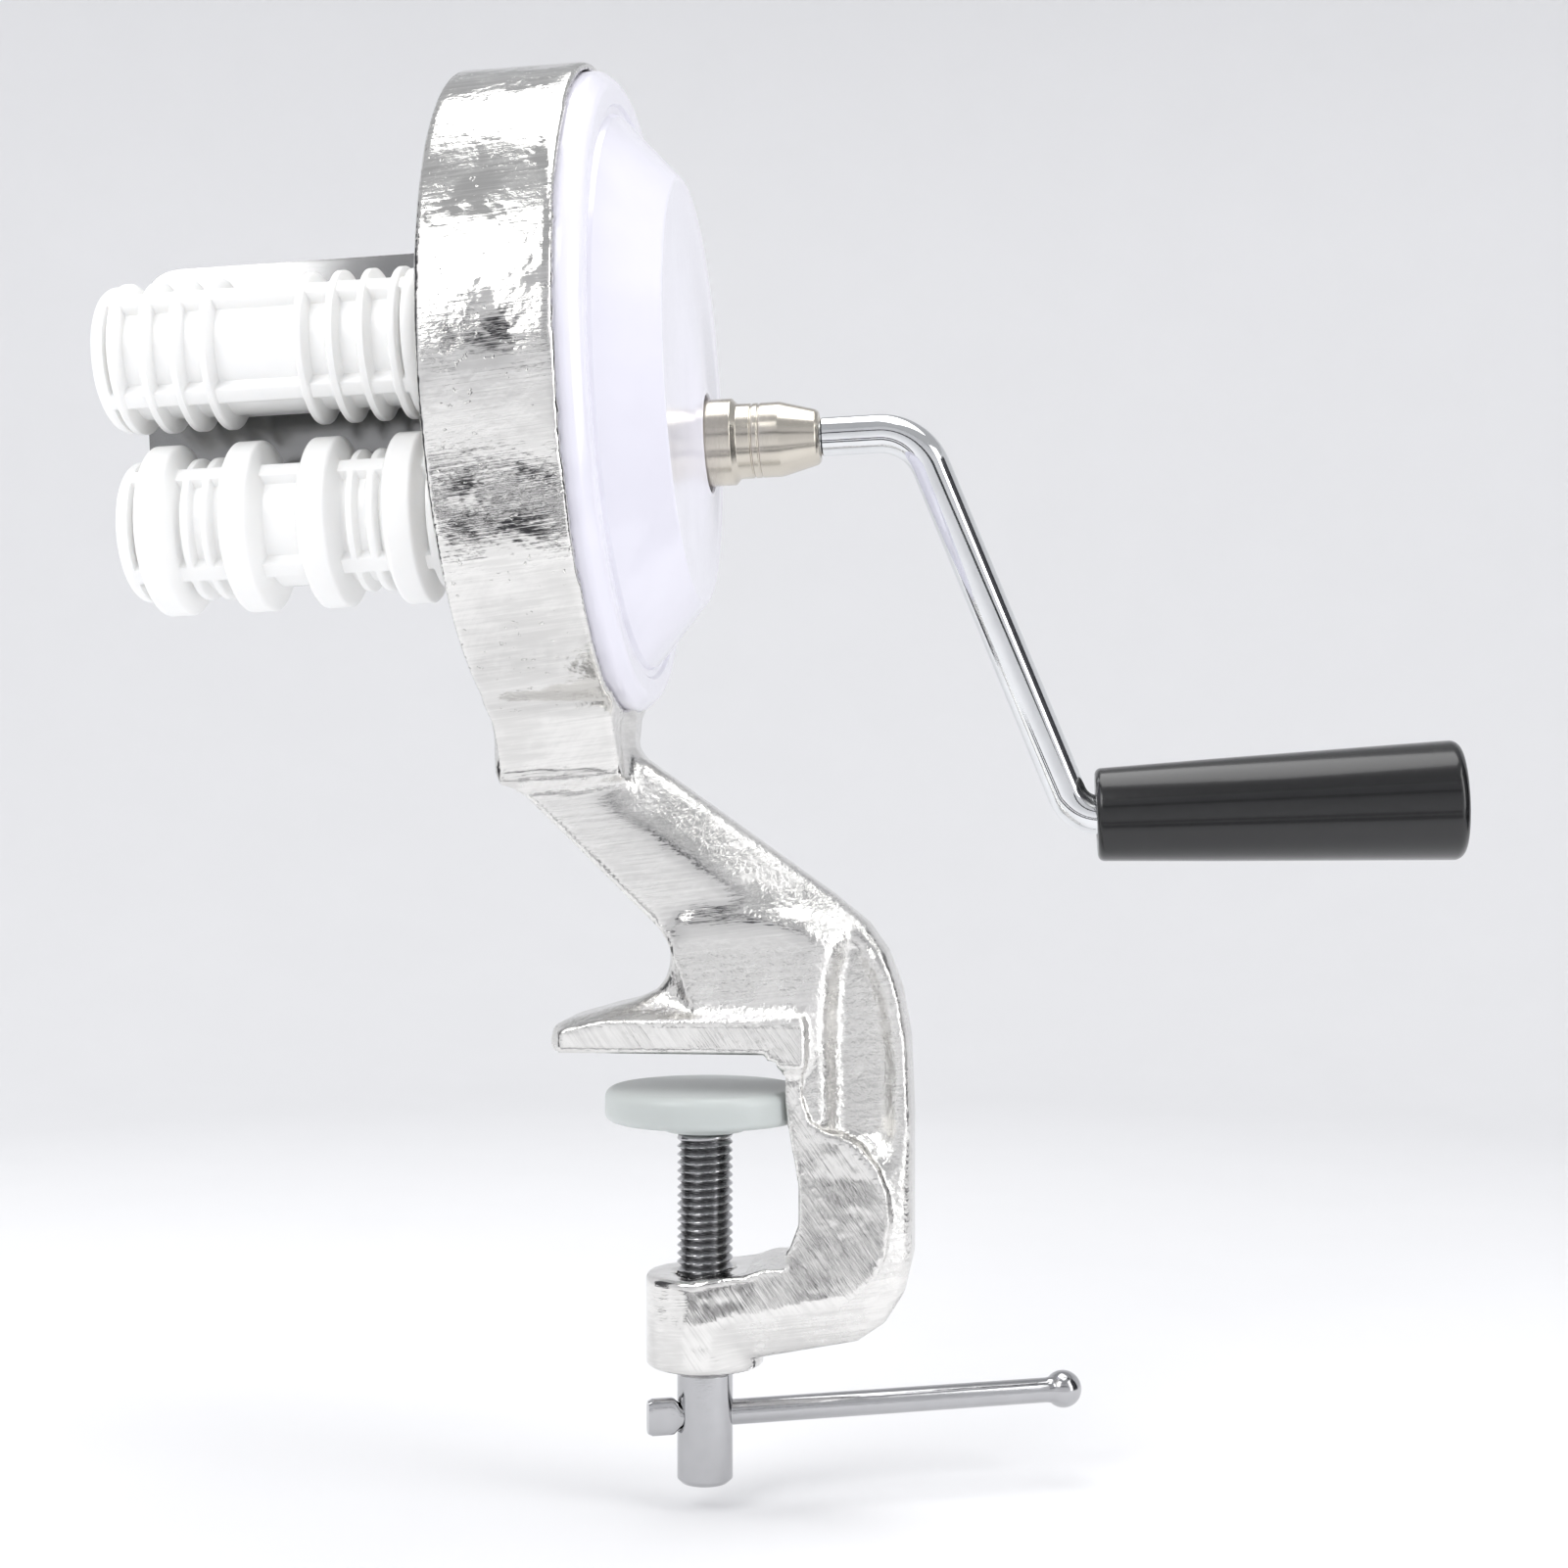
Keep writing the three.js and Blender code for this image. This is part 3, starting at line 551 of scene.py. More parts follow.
class MACHINE_OT_casting(Build, bpy.types.Operator):
    """Builds the casting as the zero surface of a distance field: ring, lug, arm, jaw, rib and boss."""

    bl_idname = "machine.casting"
    bl_label = "Casting"

    # Outlines seen from the front, as (X, Z) in millimetres from the screw's axis and the jaw's face.
    outer_edge = (
        (-14.8, 80), (-14.8, 63.8), (-12.5, 61.4), (28.0, 32.6), (35.0, 26.8), (39.0, 21.0), (42.0, 12.5),
        (43.7, 2.8), (44.4, -13.5), (44.4, -43), (42.8, -50.0), (38.8, -56.3), (33, -60.3), (12.6, -64.2),
        (-6, -66.6),
    )
    throat = (
        (0, -47.5), (10, -46), (16.2, -43.8), (19.3, -40.1), (21.1, -35.4), (21.1, -26.9), (19, -15.2),
        (17.8, -6.8), (15.5, 0.6),
    )
    arm_edge = ((8, 4), (-1, 12), (-2.6, 17.5), (-5, 22.6), (-42.1, 58.8), (-42.5, 80))
    milled_edge = (
        (14, 6.2), (21.6, 6.2), (22.0, -9.5), (23.4, -13.6), (26.5, -15.8), (30.5, -17.0), (34.0, -19.0),
        (37.5, -23.2), (39.6, -28.5), (40.2, -34), (39.2, -41.5), (36.8, -46.6), (32.5, -50.6), (2.7, -57.1),
        (-2, -57.6),
    )
    jaw = ((-28.6, 0), (-28.6, 4.0), (-27.4, 4.7), (-19.5, 6.5), (21, 7.3), (21.5, -2), (16, -2), (15, 0))
    rib = (
        (-30, 2), (-29.4, 3.4), (-21.7, 6.0), (-14.5, 9.0), (-8.9, 12.8), (-3.9, 18.9), (0, 24), (20, 24),
        (20, 2),
    )
    channel = (
        (27.4, -22), (27.4, 8), (28.0, 16), (29.6, 21.6), (31.8, 24.2), (34.4, 22.0), (37.0, 16.5),
        (39.0, 10), (40.2, 0), (40.6, -24), (40.4, -30),
    )
    box_low, box_high = np.array([-50.0, -72.0, -70.0]), np.array([48.0, 72.0, 210.0])
    voxel = 1.0
    corrections = 3
    nudge = 0.05
    web = 4.5
    seat_floor = 24.0
    lug_bottom, lug_top = -81.0, -58.0
    arm_half, jaw_half, rib_half, milled_half = 11.0, 14.0, 8.5, 12.5
    boss_radius, boss_low, boss_high = 12.5, -67.2, -47.6
    screw_bore = 6.4
    pad_room = 21.8

    def ring(self, points, head):
        """Distance to the ring and its lug, and to the gear chamber, which the clamp must leave open."""
        inverse = np.linalg.inv(head_matrix(head))
        x, y, z = moved(points, inverse).T
        r = np.hypot(y, z)
        half_depth = head.depth / 2
        body = both(r - head.ring, np.abs(x - half_depth) - half_depth, 1.6)
        width = 12.5 + np.maximum(z + 79, 0) * 14.5 / 21
        ends = np.maximum.reduce([0.4 - x, x - 26.0, z - self.lug_top, self.lug_bottom - z])
        body = either(body, both((np.abs(y) - width) * 0.82, ends, 2.0), 2.4)
        body = both(body, -np.maximum(r - head.bore, self.web - x), 0.4)
        body = both(body, -np.maximum(r - head.seat, self.seat_floor - x), 0.4)
        axles = ((head.roller_y, head.upper_z, 7.0), (head.roller_y, head.lower_z, 7.0))
        others = ((head.drive_y, head.drive_z, 8.3), (1.5, 22.0, 2.2), (1.5, -26.0, 2.2))
        for hole_y, hole_z, radius in axles + others:
            body = both(body, -np.maximum(np.hypot(y - hole_y, z - hole_z) - radius, x - 8), 0.4)
        return body, np.maximum(r - head.seat, self.web - 0.5 - x)

    def clamp(self, points):
        """Distance to the bevelled arm with its milled step and recess, the jaw, the rib and the boss."""
        x, y, z = points.T
        side = np.abs(y)
        outline = inside(x, z, self.throat + self.arm_edge + self.outer_edge)
        rim, _ = nearest_edge(x, z, self.outer_edge, closed=False)
        neck = np.clip((z - 16) / 14, 0, 1)
        lower = np.clip((-15 - z) / 5, 0, 1)
        full = self.arm_half + 1.5 * lower
        edge = 8.8 - 4.6 * neck - 0.6 * lower
        slope = 0.55 + 0.12 * neck
        bevel = (side - edge - slope * rim) * 0.87
        arm = both(both(outline, side - full, 1.2), bevel, 2.2)
        raised = both(inside(x, z, self.throat + self.milled_edge), side - self.milled_half, 0.7)
        floor = 6.0 + 6.5 * np.clip((-17 - z) / 9, 0, 1)
        recess = both(inside(x, z, self.channel), floor - side, 5.0)
        arm = np.minimum(both(arm, -recess, 4.0), raised)
        jaw = both(inside(x, z, self.jaw), side - self.jaw_half + np.clip((x + 5) / 60, 0, 0.4), 1.0)
        rib = both(inside(x, z, self.rib), side - self.rib_half, 3.0)
        body = either(either(arm, jaw, 3.0), rib, 9.0)
        body = both(body, -np.maximum(z, np.maximum(x - 14.5, -z - 30)), 0.3)
        r = np.hypot(x, y)
        boss = both(r - self.boss_radius, np.maximum(self.boss_low - z, z - self.boss_high), 1.4)
        body = either(body, boss, 1.6)
        body = both(body, -np.maximum(r - self.pad_room, np.maximum(z + 1.2, -44.6 - z)), 0.4)
        return both(body, self.screw_bore - r - np.maximum(z + 30, 0) * 9, 0.8)

    def field(self, points, head):
        """Distance to the whole casting; the clamp is worked out only where it can reach."""
        ring, chamber = self.ring(points, head)
        low = points[:, 2] < 82
        low[low] = np.abs(points[low, 1]) < 30
        clamp = np.maximum(self.clamp(points[low]), -chamber[low])
        ring[low] = either(ring[low], clamp, 4.0)
        return ring

    def surface(self, head):
        """Points and faces of the zero surface: the field on a grid, and then steps down its slope."""
        axes = [np.arange(a, b, self.voxel) for a, b in zip(self.box_low, self.box_high)]
        values = np.empty([len(axis) for axis in axes], np.float32)
        for i, x in enumerate(axes[0]):
            y, z = np.meshgrid(axes[1], axes[2], indexing="ij")
            points = np.stack([np.full(y.size, x), y.ravel(), z.ravel()], -1)
            values[i] = np.clip(self.field(points, head), -4, 4).reshape(y.shape)
        grid = openvdb.FloatGrid(4.0)
        grid.copyFromArray(values)
        spots, quads = grid.convertToQuads(0.0)
        points = spots * self.voxel + self.box_low
        for _ in range(self.corrections):
            value = self.field(points, head)
            rises = []
            for step in np.eye(3) * self.nudge:
                rises.append(self.field(points + step, head) - self.field(points - step, head))
            slope = np.stack(rises, -1) / (2 * self.nudge)
            size = np.maximum((slope**2).sum(1), 0.3)
            points = points - slope * (np.clip(value, -0.4, 0.4) / size)[:, None]
        return points, quads[:, ::-1]

    def execute(self, context):
        points, quads = self.surface(self.settings().head)
        mesh = bpy.data.meshes.new("casting")
        mesh.from_pydata((points * MM).tolist(), [], quads.tolist())
        mend(mesh)
        normals = np.array([v.normal[:] for v in mesh.vertices])
        x, y, z = points.T
        facing = np.clip((np.abs(normals[:, 1]) - 0.93) / 0.05, 0, 1)
        milled = facing * (z < 6.5) * np.clip((np.abs(y) - 12.0) / 0.4, 0, 1) * (z > -66)
        boss = (np.hypot(x, y) < 13.4) & (z < -46)
        band = np.clip((z - 20.0) / 5.0, 0, 1) * np.clip((76.0 - z) / 3.0, 0, 1)
        lug = band * np.clip(facing + 0.6 * (z > 58), 0, 1)
        polished = np.maximum.reduce([milled, lug, boss.astype(float)])
        paint(mesh, "milled", milled)
        paint(mesh, "skin", 1.0 - polished)
        paint(mesh, "ring", np.clip((z - 70) / 6, 0, 1))
        slot = "cast_aluminium"
        show("casting", mesh, self.finish(slot), "frame", "frame_casting", np.radians(80))
        return {"FINISHED"}


class MACHINE_OT_cover(Build, bpy.types.Operator):
    """Builds the gear case's lid: rings whose centre moves from the shaft's hole to the ring's axis."""

    bl_idname = "machine.cover"
    bl_label = "Gear cover"

    def execute(self, context):
        head = self.settings().head
        hole, lip, outer = 10.75, 12.3, 40.0
        front = rounded([
            (43.28, outer, 0), (43.3, 44.6, 1.6), (31.9, 57.7, 0.4), (30.7, 58.3, 0.3), (30.7, 59.7, 0.3),
            (31.5, 60.3, 0.3), (31.5, 64.6, 2.4), (28.8, 67.05, 2.6), (24.75, 67.05, 0.3), (24.75, 65.1, 0),
        ])
        back = np.array([(28.0, 64.7), (29.3, 62.5), (29.4, 56.0), (41.0, 44.0), (41.1, outer)])
        middle = [
            (41.1, lip), (41.1, hole), (43.1, hole), (43.55, hole + 0.25), (43.6, hole + 0.6),
            (43.5, lip - 0.5), (43.3, lip),
        ]
        profile = np.vstack([middle, front, back])
        rows = lathe(profile, 192)
        centre = np.array([head.drive_y, head.drive_z])
        share = (profile[:, 1] <= lip).astype(float)
        rows[..., 1:] += share[:, None, None] * centre
        mesh = skin_mesh("gear cover", moved(rows, head_matrix(head)), closed_rows=True)
        slot = "cover_plastic"
        show("gear cover", mesh, self.finish(slot), "frame", "gear_cover", np.radians(28))
        return {"FINISHED"}


class MACHINE_OT_guard(Build, bpy.types.Operator):
    """Builds the bent sheet behind the rollers: the solid's shape with softened folds."""

    bl_idname = "machine.guard"
    bl_label = "Guard"

    def execute(self, context):
        fold = {"width": 0.35 * MM, "segments": 3, "limit_method": "ANGLE", "angle_limit": np.radians(50)}
        mesh = with_modifiers(solid_copy("guard_plate"), ("BEVEL", fold))
        slot = "stainless_sheet"
        show("guard", mesh, self.finish(slot), "frame", "guard_plate", np.radians(35))
        return {"FINISHED"}


class MACHINE_OT_rollers(Build, bpy.types.Operator):
    """Builds both rollers: a core whose radius grows to the largest of its ribs, bars and end caps."""

    bl_idname = "machine.rollers"
    bl_label = "Rollers"

    rows, segments = 260, 256
    bars = 4
    bar_half = 2.1
    cap_length = 3.4
    end_round = 2.6

    def roller(self, name, start, z, bar_r, rings):
        """One roller; each ring is (offset from the middle, radius, width of crest, width of foot)."""
        head = self.settings().head
        x = np.linspace(0, head.roller_length, self.rows)[:, None]
        turn = (np.arange(self.segments) * TURN / self.segments)[None, :]
        middle = head.roller_length / 2

        def step(distance, soft):
            t = np.clip(0.5 + distance / soft, 0, 1)
            return t * t * (3 - 2 * t)

        radius = head.core + 0 * x + 0 * turn
        spacing = TURN / self.bars
        across = np.abs(turn % spacing - spacing / 2) * bar_r
        radius = np.maximum(radius, head.core + (bar_r - head.core) * step(self.bar_half - across, 0.9))
        for offset, ring_r, crest, base in rings:
            away = np.abs(x - middle - offset)
            slope = np.clip((base / 2 - away) / (base / 2 - crest / 2), 0, 1)
            ring = head.core + (ring_r - head.core) * np.sin(slope * np.pi / 2) ** 1.2
            radius = np.maximum(radius, ring)
        ends = np.minimum(x, head.roller_length - x)
        radius = np.maximum(radius, head.core + (bar_r - head.core) * step(self.cap_length - ends, 0.7))
        edge = self.end_round
        radius = radius - edge + np.sqrt(np.maximum(edge**2 - np.maximum(edge - ends, 0) ** 2, 0))
        centre = (head.roller_y, z)
        across, up = centre[0] + radius * np.cos(turn), centre[1] + radius * np.sin(turn)
        shell = np.stack([start + x + 0 * turn, across, up], -1)
        far = lathe([(start, 0.02), (start, bar_r - edge - 1.0)], self.segments, centre=centre)
        hub = start + head.roller_length
        socket = [(hub, 5.2), (hub - 1.2, 4.3), (hub - 3.0, 4.3), (hub - 3.0, 0.02)]
        near = lathe(socket, self.segments, centre=centre)
        mesh = skin_mesh(name, moved(np.concatenate([far, shell, near]), head_matrix(head)), caps=True)
        body, slot = name.split()[0], "roller_plastic"
        show(name, mesh, self.finish(slot), body, f"{body}_roller", np.radians(50))

    def execute(self, context):
        head = self.settings().head
        ribs = [(side * (9.7 + 6.3 * i), 15.3, 1.2, 3.0) for side in (-1, 1) for i in range(4)]
        wide = [(side * c, 17.35, 4.4, 9.4) for side in (-1, 1) for c in (8.0, 25.2)]
        narrow = [(side * c, 14.4, 1.0, 2.6) for side in (-1, 1) for c in (14.8, 18.9)]
        self.roller("upper roller", head.upper_start, head.upper_z, 14.8, ribs)
        self.roller("lower roller", head.lower_start, head.lower_z, 14.45, wide + narrow)
        return {"FINISHED"}


class MACHINE_OT_shaft(Build, bpy.types.Operator):
    """Builds the turned drive shaft with its grooves, tapered nose and threaded socket."""

    bl_idname = "machine.shaft"
    bl_label = "Drive shaft"

    def execute(self, context):
        head = self.settings().head
        end, socket = 67.9, 4.22
        profile = rounded([
            (-4.2, 0.02, 0), (-4.2, 5.0, 0.5), (8.5, 5.0, 0), (8.5, 6.48, 0), (24.3, 6.48, 0),
            (24.3, 9.5, 0.3), (48.9, 9.5, 0.4), (50.1, 8.25, 0.3), (53.0, 8.2, 0.2), (53.3, 7.85, 0.15),
            (53.6, 8.2, 0.2),
            (54.6, 8.2, 0.2), (54.9, 7.9, 0.15), (55.2, 8.2, 0.2), (59.4, 8.2, 1.2), (67.2, 6.1, 0.5),
            (end, 5.5, 0.3), (end, socket + 0.5, 0), (end - 0.5, socket, 0), (end - 17.0, socket, 0),
            (end - 18.0, 0.02, 0),
        ], 5)
        rows = lathe(profile, 128, centre=(head.drive_y, head.drive_z))
        mesh = skin_mesh("drive shaft", moved(rows, head_matrix(head)), caps=True)
        slot = "nickel_plate"
        show("drive shaft", mesh, self.finish(slot), "drive", "drive_shaft", np.radians(22))
        return {"FINISHED"}


class MACHINE_OT_crank(Build, bpy.types.Operator):
    """Builds the bent rod: a circle carried along its middle line, with a helical thread at its inner end."""

    bl_idname = "machine.crank"
    bl_label = "Crank"

    thread_rows = 120
    segments = 64

    def execute(self, context):
        head, handle = self.settings().head, self.settings().handle
        foot = handle.bend + handle.drop * np.tan(handle.lean)
        n = self.thread_rows
        corners = rounded([
            (0.0, 0.0, 0), (handle.bend, 0.0, 12.0), (foot, -handle.drop, 7.2),
            (handle.rod_end, -handle.drop, 0),
        ], 24)
        thread = np.stack([np.linspace(-handle.screwed_in, -0.6, n), np.zeros(n)], -1)
        spots = np.concatenate([thread, [(-0.55, 0.0), (-0.02, 0.0), (0.0, 0.0), (0.4, 0.0)], corners[1:]])
        ahead = np.gradient(spots, axis=0)
        ahead /= np.hypot(*ahead.T)[:, None]
        turn = np.arange(self.segments) * TURN / self.segments
        wave = np.abs(((spots[:n, 0:1] / handle.pitch - turn / TURN) % 1.0) - 0.5) * 2
        radius = np.full((len(spots), self.segments), handle.rod)
        radius[:n] = 3.35 + 0.6 * wave
        radius[n : n + 2] = 3.4
        radius[n + 2] = handle.rod - 0.4
        side = np.stack([-ahead[:, 1], ahead[:, 0]], -1)
        rows = np.empty((len(spots), self.segments, 3))
        rows[..., 0] = spots[:, 0:1] + side[:, 0:1] * radius * np.sin(turn)
        rows[..., 2] = spots[:, 1:2] + side[:, 1:2] * radius * np.sin(turn)
        rows[..., 1] = radius * np.cos(turn)
        rows += np.array([handle.shaft_end, head.drive_y, head.drive_z])
        mesh = skin_mesh("crank rod", moved(rows, head_matrix(head)), caps=True)
        show("crank rod", mesh, self.finish("chrome_plate"), "crank", "crank_rod")
        return {"FINISHED"}


class MACHINE_OT_grip(Build, bpy.types.Operator):
    """Builds the tapered grip and the cap in its end."""

    bl_idname = "machine.grip"
    bl_label = "Grip"

    def execute(self, context):
        head, handle = self.settings().head, self.settings().handle
        start, end, pocket = handle.start, handle.end, 8.2
        grip = rounded([
            (start + 0.4, 4.8, 0), (start, 5.6, 0.3), (start, 10.05, 1.4), (start + 26, 11.1, 60),
            (end, 12.9, 2.4), (end, pocket + 0.6, 0.3), (end - 0.6, pocket, 0.3), (122.5, pocket, 0),
            (122.5, 4.8, 0),
        ], 10)
        fit = pocket - 0.25
        cap = rounded([(128.5, 0.02, 0), (128.5, fit, 0), (end - 0.2, fit, 0.8), (end - 0.05, 0.02, 0)])
        centre = (head.drive_y, head.drive_z - handle.drop)
        black = self.finish("black_plastic")
        for name, profile, node in (("grip sleeve", grip, "grip_sleeve"), ("grip cap", cap, "grip_cap")):
            rows = lathe(profile + np.array([handle.shaft_end, 0.0]), 128, centre=centre)
            ring = name == "grip sleeve"
            mesh = skin_mesh(name, moved(rows, head_matrix(head)), closed_rows=ring, caps=not ring)
            show(name, mesh, black, "grip", node)
        return {"FINISHED"}


class MACHINE_OT_screw(Build, bpy.types.Operator):
    """Builds the clamp screw: a helical thread over a plain head, with a cross hole for the bar."""

    bl_idname = "machine.screw"
    bl_label = "Clamp screw"

    segments, rows_in_turn = 96, 14
    root_depth = 0.95
    thread_top = -18.4

    def execute(self, context):
        clamp = self.settings().clamp
        segments, top, bottom = self.segments, self.thread_top, clamp.head_top + 1.4
        z = np.linspace(top, bottom, int((top - bottom) / clamp.pitch * self.rows_in_turn))
        turn = np.arange(segments) * TURN / segments
        wave = np.abs(((z[:, None] / clamp.pitch - turn / TURN) % 1.0) - 0.5) * 2
        fade = np.clip(np.minimum(top - z, z - bottom) / 1.5, 0.25, 1)[:, None]
        groove = np.clip(1.15 * wave - 0.1, 0, 1) * fade
        radius = clamp.thread - self.root_depth * groove
        thread = np.stack([radius * np.cos(turn), radius * np.sin(turn), z[:, None] + 0 * turn], -1)
        spigot = lathe([(-11.8, 0.02), (-11.8, 3.4), (-12.4, 4.0), (-17.9, 4.0), (-17.9, 5.0)], segments, "z")
        head = rounded([
            (clamp.head_top + 1.3, 5.2, 0), (clamp.head_top + 0.4, 5.2, 0.2),
            (clamp.head_top - 0.7, 5.93, 0.3), (clamp.head_bottom + 0.9, 5.93, 0.5),
            (clamp.head_bottom, 5.0, 0.4), (clamp.head_bottom, 0.02, 0),
        ], 6)
        rows = np.concatenate([spigot, thread, lathe(head, segments, "z")])
        mesh = skin_mesh("clamp screw", rows, caps=True)
        hole = lathe([(-20, 3.35), (-5.62, 3.35), (-4.9, 3.0), (4.9, 3.0), (5.62, 3.35), (20, 3.35)], 48)
        drill = add_object("drill", skin_mesh("drill", moved(hole, bar_matrix(clamp)), caps=True))
        cut = {"operation": "DIFFERENCE", "object": drill, "solver": "EXACT"}
        mesh = with_modifiers(mesh, ("BOOLEAN", cut))
        bpy.data.objects.remove(drill)
        x, y, z = coordinates(mesh).T
        deep = np.clip((clamp.thread - np.hypot(x, y)) / self.root_depth, 0, 1)
        # root mask for the painted shade in the thread's roots: its depth in the thread, a flat 0.15 on the
        # spigot above, none on the head
        paint(mesh, "root", np.where((z < top) & (z > bottom), deep, 0.15 * (z > bottom)))
        slot = "screw_steel"
        show("clamp screw", mesh, self.finish(slot), "screw", "clamp_screw", np.radians(35))
        return {"FINISHED"}


class MACHINE_OT_pad(Build, bpy.types.Operator):
    """Builds the swivelling pad: a thick disc with a rounded rim and a short hub."""

    bl_idname = "machine.pad"
    bl_label = "Clamp pad"

    def execute(self, context):
        clamp = self.settings().clamp
        profile = rounded([
            (-8.2, 0.02, 0), (-8.2, clamp.pad, 2.2), (-15.2, clamp.pad, 1.6), (-15.5, 11.4, 1.2),
            (-17.55, 8.6, 0.5), (-17.58, 4.35, 0), (-13.8, 4.35, 0), (-13.8, 6.6, 0), (-12.0, 6.6, 0),
            (-12.0, 4.35, 0),
            (-11.4, 4.35, 0), (-11.4, 0.02, 0),
        ], 8)
        mesh = skin_mesh("clamp pad", lathe(profile, 160, "z"), caps=True)
        show("clamp pad", mesh, self.finish("pad_plastic"), "pad", "clamp_pad")
        return {"FINISHED"}


class MACHINE_OT_bar(Build, bpy.types.Operator):
    """Builds the bar: a round rod with a ball on one end, hammered flat at the other."""

    bl_idname = "machine.bar"
    bl_label = "Bar"

    segments = 64
    ball_x, ball = 81.4, 4.1
    flat_from, flat_to = -6.4, -12.4

    def execute(self, context):
        clamp = self.settings().clamp
        ball_x, ball, flat_from, flat_to = self.ball_x, self.ball, self.flat_from, self.flat_to
        swing = np.linspace(np.arcsin(clamp.bar / ball) * 1.05, np.pi, 30)
        knob = [(ball_x - ball * np.cos(t), max(ball * np.sin(t), 0.02)) for t in swing]
        tip = np.linspace(flat_to, flat_from + 1.0, 16)
        shank = [(x, clamp.bar) for x in np.linspace(flat_from + 1.2, ball_x - ball - 0.2, 40)]
        profile = np.array([(x, clamp.bar) for x in tip] + shank + knob)
        turn = np.arange(self.segments) * TURN / self.segments
        x, radius = profile.T[:, :, None]
        pressed = np.clip((flat_from + 0.9 - x) / 1.6, 0, 1)
        pressed = pressed * pressed * (3 - 2 * pressed)
        tall = radius + pressed * 1.2
        thin = radius - pressed * 1.25
        corner = 1 - 0.45 * pressed
        across = thin * np.sign(np.cos(turn)) * np.abs(np.cos(turn)) ** corner
        up = tall * np.sign(np.sin(turn)) * np.abs(np.sin(turn)) ** corner
        end = np.clip((x - flat_to) / 0.5, 0.88, 1)
        rows = np.stack([x + 0 * turn, across * end, up * end], -1)
        mesh = skin_mesh("bar", moved(rows, bar_matrix(clamp)), caps=True)
        show("bar", mesh, self.finish("screw_steel"), "bar", "tommy_bar")
        return {"FINISHED"}


class MACHINE_OT_small_parts(Build, bpy.types.Operator):
    """Gives the solids that stay in view or inside the case their finishes."""

    bl_idname = "machine.small_parts"
    bl_label = "Small parts"

    def execute(self, context):
        slots = {part["node"]: part["material_slot"] for part in frame["record"]["subparts"]}
        for name, node in frame["nodes"].items():
            if node.hide_render:
                continue
            for slot in node.material_slots:
                slot.material = self.finish(slots[name])
        return {"FINISHED"}


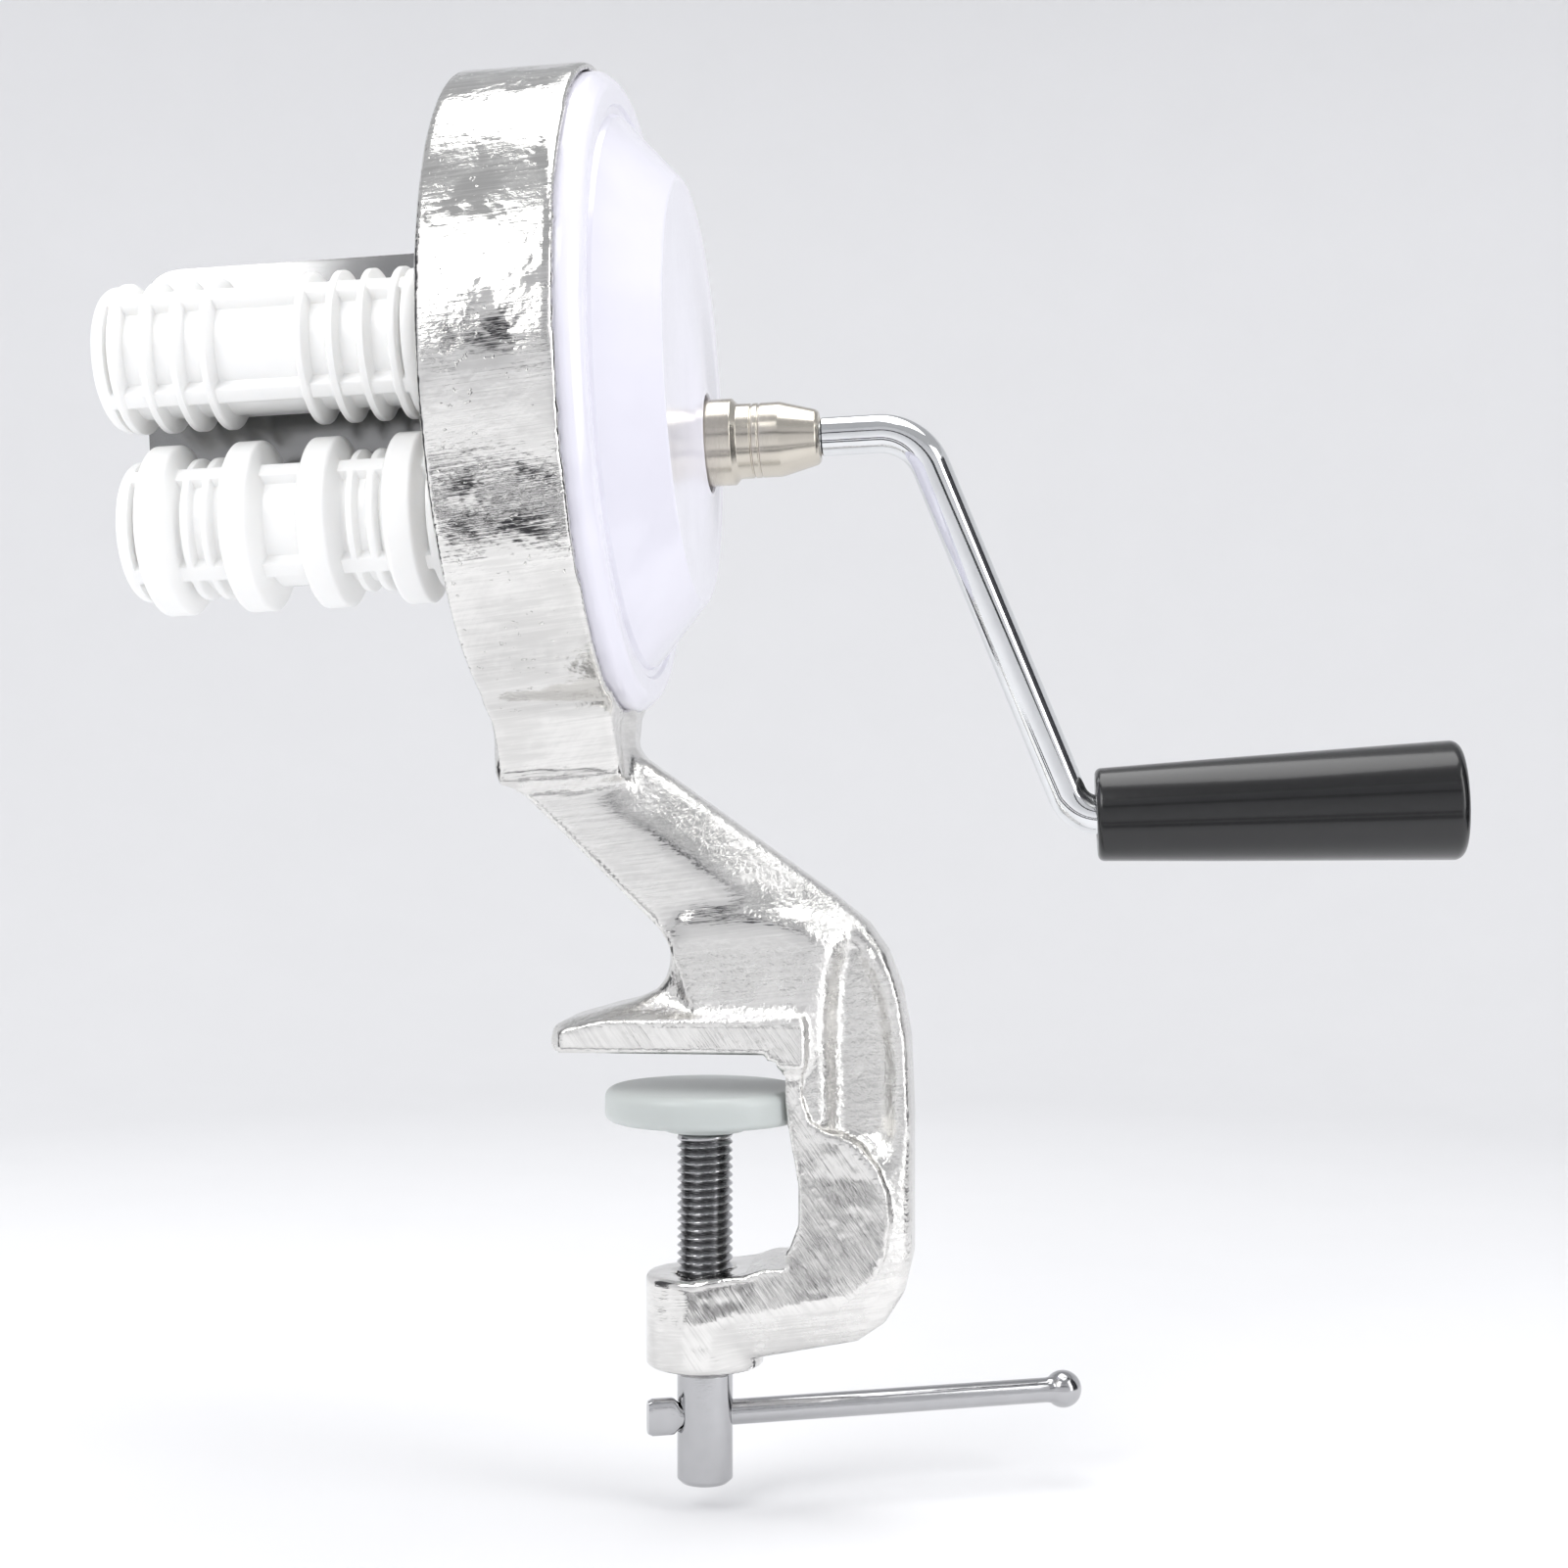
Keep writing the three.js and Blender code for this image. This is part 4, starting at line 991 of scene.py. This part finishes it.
class MACHINE_OT_studio(Build, bpy.types.Operator):
    """Builds the pale floor and wall, the soft lights and the camera."""

    bl_idname = "machine.studio"
    bl_label = "Studio"

    floor_z = -98.0
    wall_radius, wall_top = 1150.0, 900.0
    camera_at = (70.67, -515.91, 57.43)
    camera_azimuth, camera_elevation = 13.7, 0.16
    camera_pan = 7.75
    camera_lens, camera_sensor = 56.2, 36.0

    def backdrop(self):
        """A round floor that curves up into a wall on every side."""
        low, wall = self.floor_z, self.wall_radius
        profile = rounded([(low, 0.02, 0), (low, wall, 500.0), (self.wall_top, wall, 0)], 24)
        mesh = skin_mesh("backdrop", lathe(profile, 160, "z"))
        mesh.shade_smooth()
        s = Shade("backdrop")
        rgb = self.settings().colours.floor
        tone = s.mix(s.noise(0.02), shaded(rgb, 0.985), shaded(rgb, 1.01))
        mesh.materials.append(s.set(Base_Color=tone, Roughness=0.9))
        add_object("backdrop", mesh)

    def light(self, name, spot, aim, size, power):
        """A soft panel of light in watts, turned towards a point; places and sizes are in millimetres."""
        lamp = bpy.data.lights.new(name, "AREA")
        lamp.shape = "RECTANGLE"
        lamp.size, lamp.size_y = (v * MM for v in size)
        lamp.energy = power
        rig = add_object(name, lamp)
        towards = np.array(aim, float) - np.array(spot, float)
        rig.rotation_euler = Vector(towards).to_track_quat("-Z", "Y").to_euler()
        rig.location = [v * MM for v in spot]

    def card(self, middle, size):
        """A dark strip out of the camera's sight, for the metal to reflect."""
        ends = (-0.5, 0.5)
        corners = np.array([(i, j, k) for i in ends for j in ends for k in ends])
        points = (np.array(middle) + corners * np.array(size)) * MM
        faces = [(0, 1, 3, 2), (4, 6, 7, 5), (0, 4, 5, 1), (2, 3, 7, 6), (0, 2, 6, 4), (1, 5, 7, 3)]
        mesh = bpy.data.meshes.new("card")
        mesh.from_pydata(points.tolist(), [], faces)
        mesh.materials.append(Shade("card").set(Base_Color=(0.03, 0.03, 0.035), Roughness=0.9))
        card = add_object(f"card_{len(bpy.data.objects)}", mesh)
        card.visible_camera = False
        card.visible_diffuse = False
        card.visible_shadow = False

    def camera(self):
        """The camera, a little off the machine's front and panned towards the crank."""
        lens = bpy.data.cameras.new("camera")
        lens.lens = self.camera_lens
        lens.sensor_width = self.camera_sensor
        lens.clip_start, lens.clip_end = 0.01, 20.0
        camera = add_object("camera", lens)
        turn = np.radians(self.camera_azimuth - self.camera_pan)
        camera.rotation_euler = (np.radians(90 - self.camera_elevation), 0.0, turn)
        camera.location = [v * MM for v in self.camera_at]
        bpy.context.scene.camera = camera

    def execute(self, context):
        scene = context.scene
        self.backdrop()
        self.light("key", (-420, -620, 620), (0, 0, 60), (520, 520), 3.4)
        self.light("side", (620, -260, 260), (20, 0, 60), (300, 700), 2.2)
        self.light("top", (60, 60, 780), (0, 0, 60), (700, 500), 3.2)
        self.light("left", (-700, 60, 120), (-20, 0, 60), (260, 700), 1.2)
        for y, width in ((-240, 70), (-375, 90)):
            self.card((0, y, self.floor_z + 1), (700, width, 1))
        for x in (-440, 470):
            self.card((x, -20, 40), (20, 300, 700))
        self.card((0, -820, 340), (1300, 10, 90))
        scene.world = bpy.data.worlds.new("studio")
        scene.world.use_nodes = True
        sky = scene.world.node_tree.nodes["Background"]
        sky.inputs["Color"].default_value = (0.72, 0.73, 0.75, 1.0)
        sky.inputs["Strength"].default_value = 0.7
        self.camera()
        scene.view_settings.view_transform = "Standard"
        return {"FINISHED"}


STEPS = (
    MACHINE_OT_casting, MACHINE_OT_cover, MACHINE_OT_guard, MACHINE_OT_rollers, MACHINE_OT_shaft,
    MACHINE_OT_crank, MACHINE_OT_grip, MACHINE_OT_screw, MACHINE_OT_pad, MACHINE_OT_bar,
    MACHINE_OT_small_parts, MACHINE_OT_studio,
)


class MACHINE_PT_panel(bpy.types.Panel):
    """The machine's sizes, colours and building steps."""

    bl_idname = "MACHINE_PT_panel"
    bl_label = "Kitchen machine"
    bl_space_type = "VIEW_3D"
    bl_region_type = "UI"
    bl_category = "Kitchen machine"

    def draw(self, context):
        settings = context.scene.kitchen_machine
        for group in (settings.head, settings.handle, settings.clamp, settings.colours):
            box = self.layout.box()
            for name in type(group).__annotations__:
                box.prop(group, name)
        for step in STEPS:
            self.layout.operator(step.bl_idname)


CLASSES = (HeadSizes, HandleSizes, ClampSizes, Colours, MachineSettings, *STEPS, MACHINE_PT_panel)


def register():
    for item in CLASSES:
        bpy.utils.register_class(item)
    bpy.types.Scene.kitchen_machine = bpy.props.PointerProperty(type=MachineSettings)


def unregister():
    del bpy.types.Scene.kitchen_machine
    for item in reversed(CLASSES):
        bpy.utils.unregister_class(item)


def main():
    """Registers the add-on and runs every building step."""
    register()
    for step in STEPS:
        group, name = step.bl_idname.split(".")
        getattr(getattr(bpy.ops, group), name)()


if __name__ == "__main__":
    main()
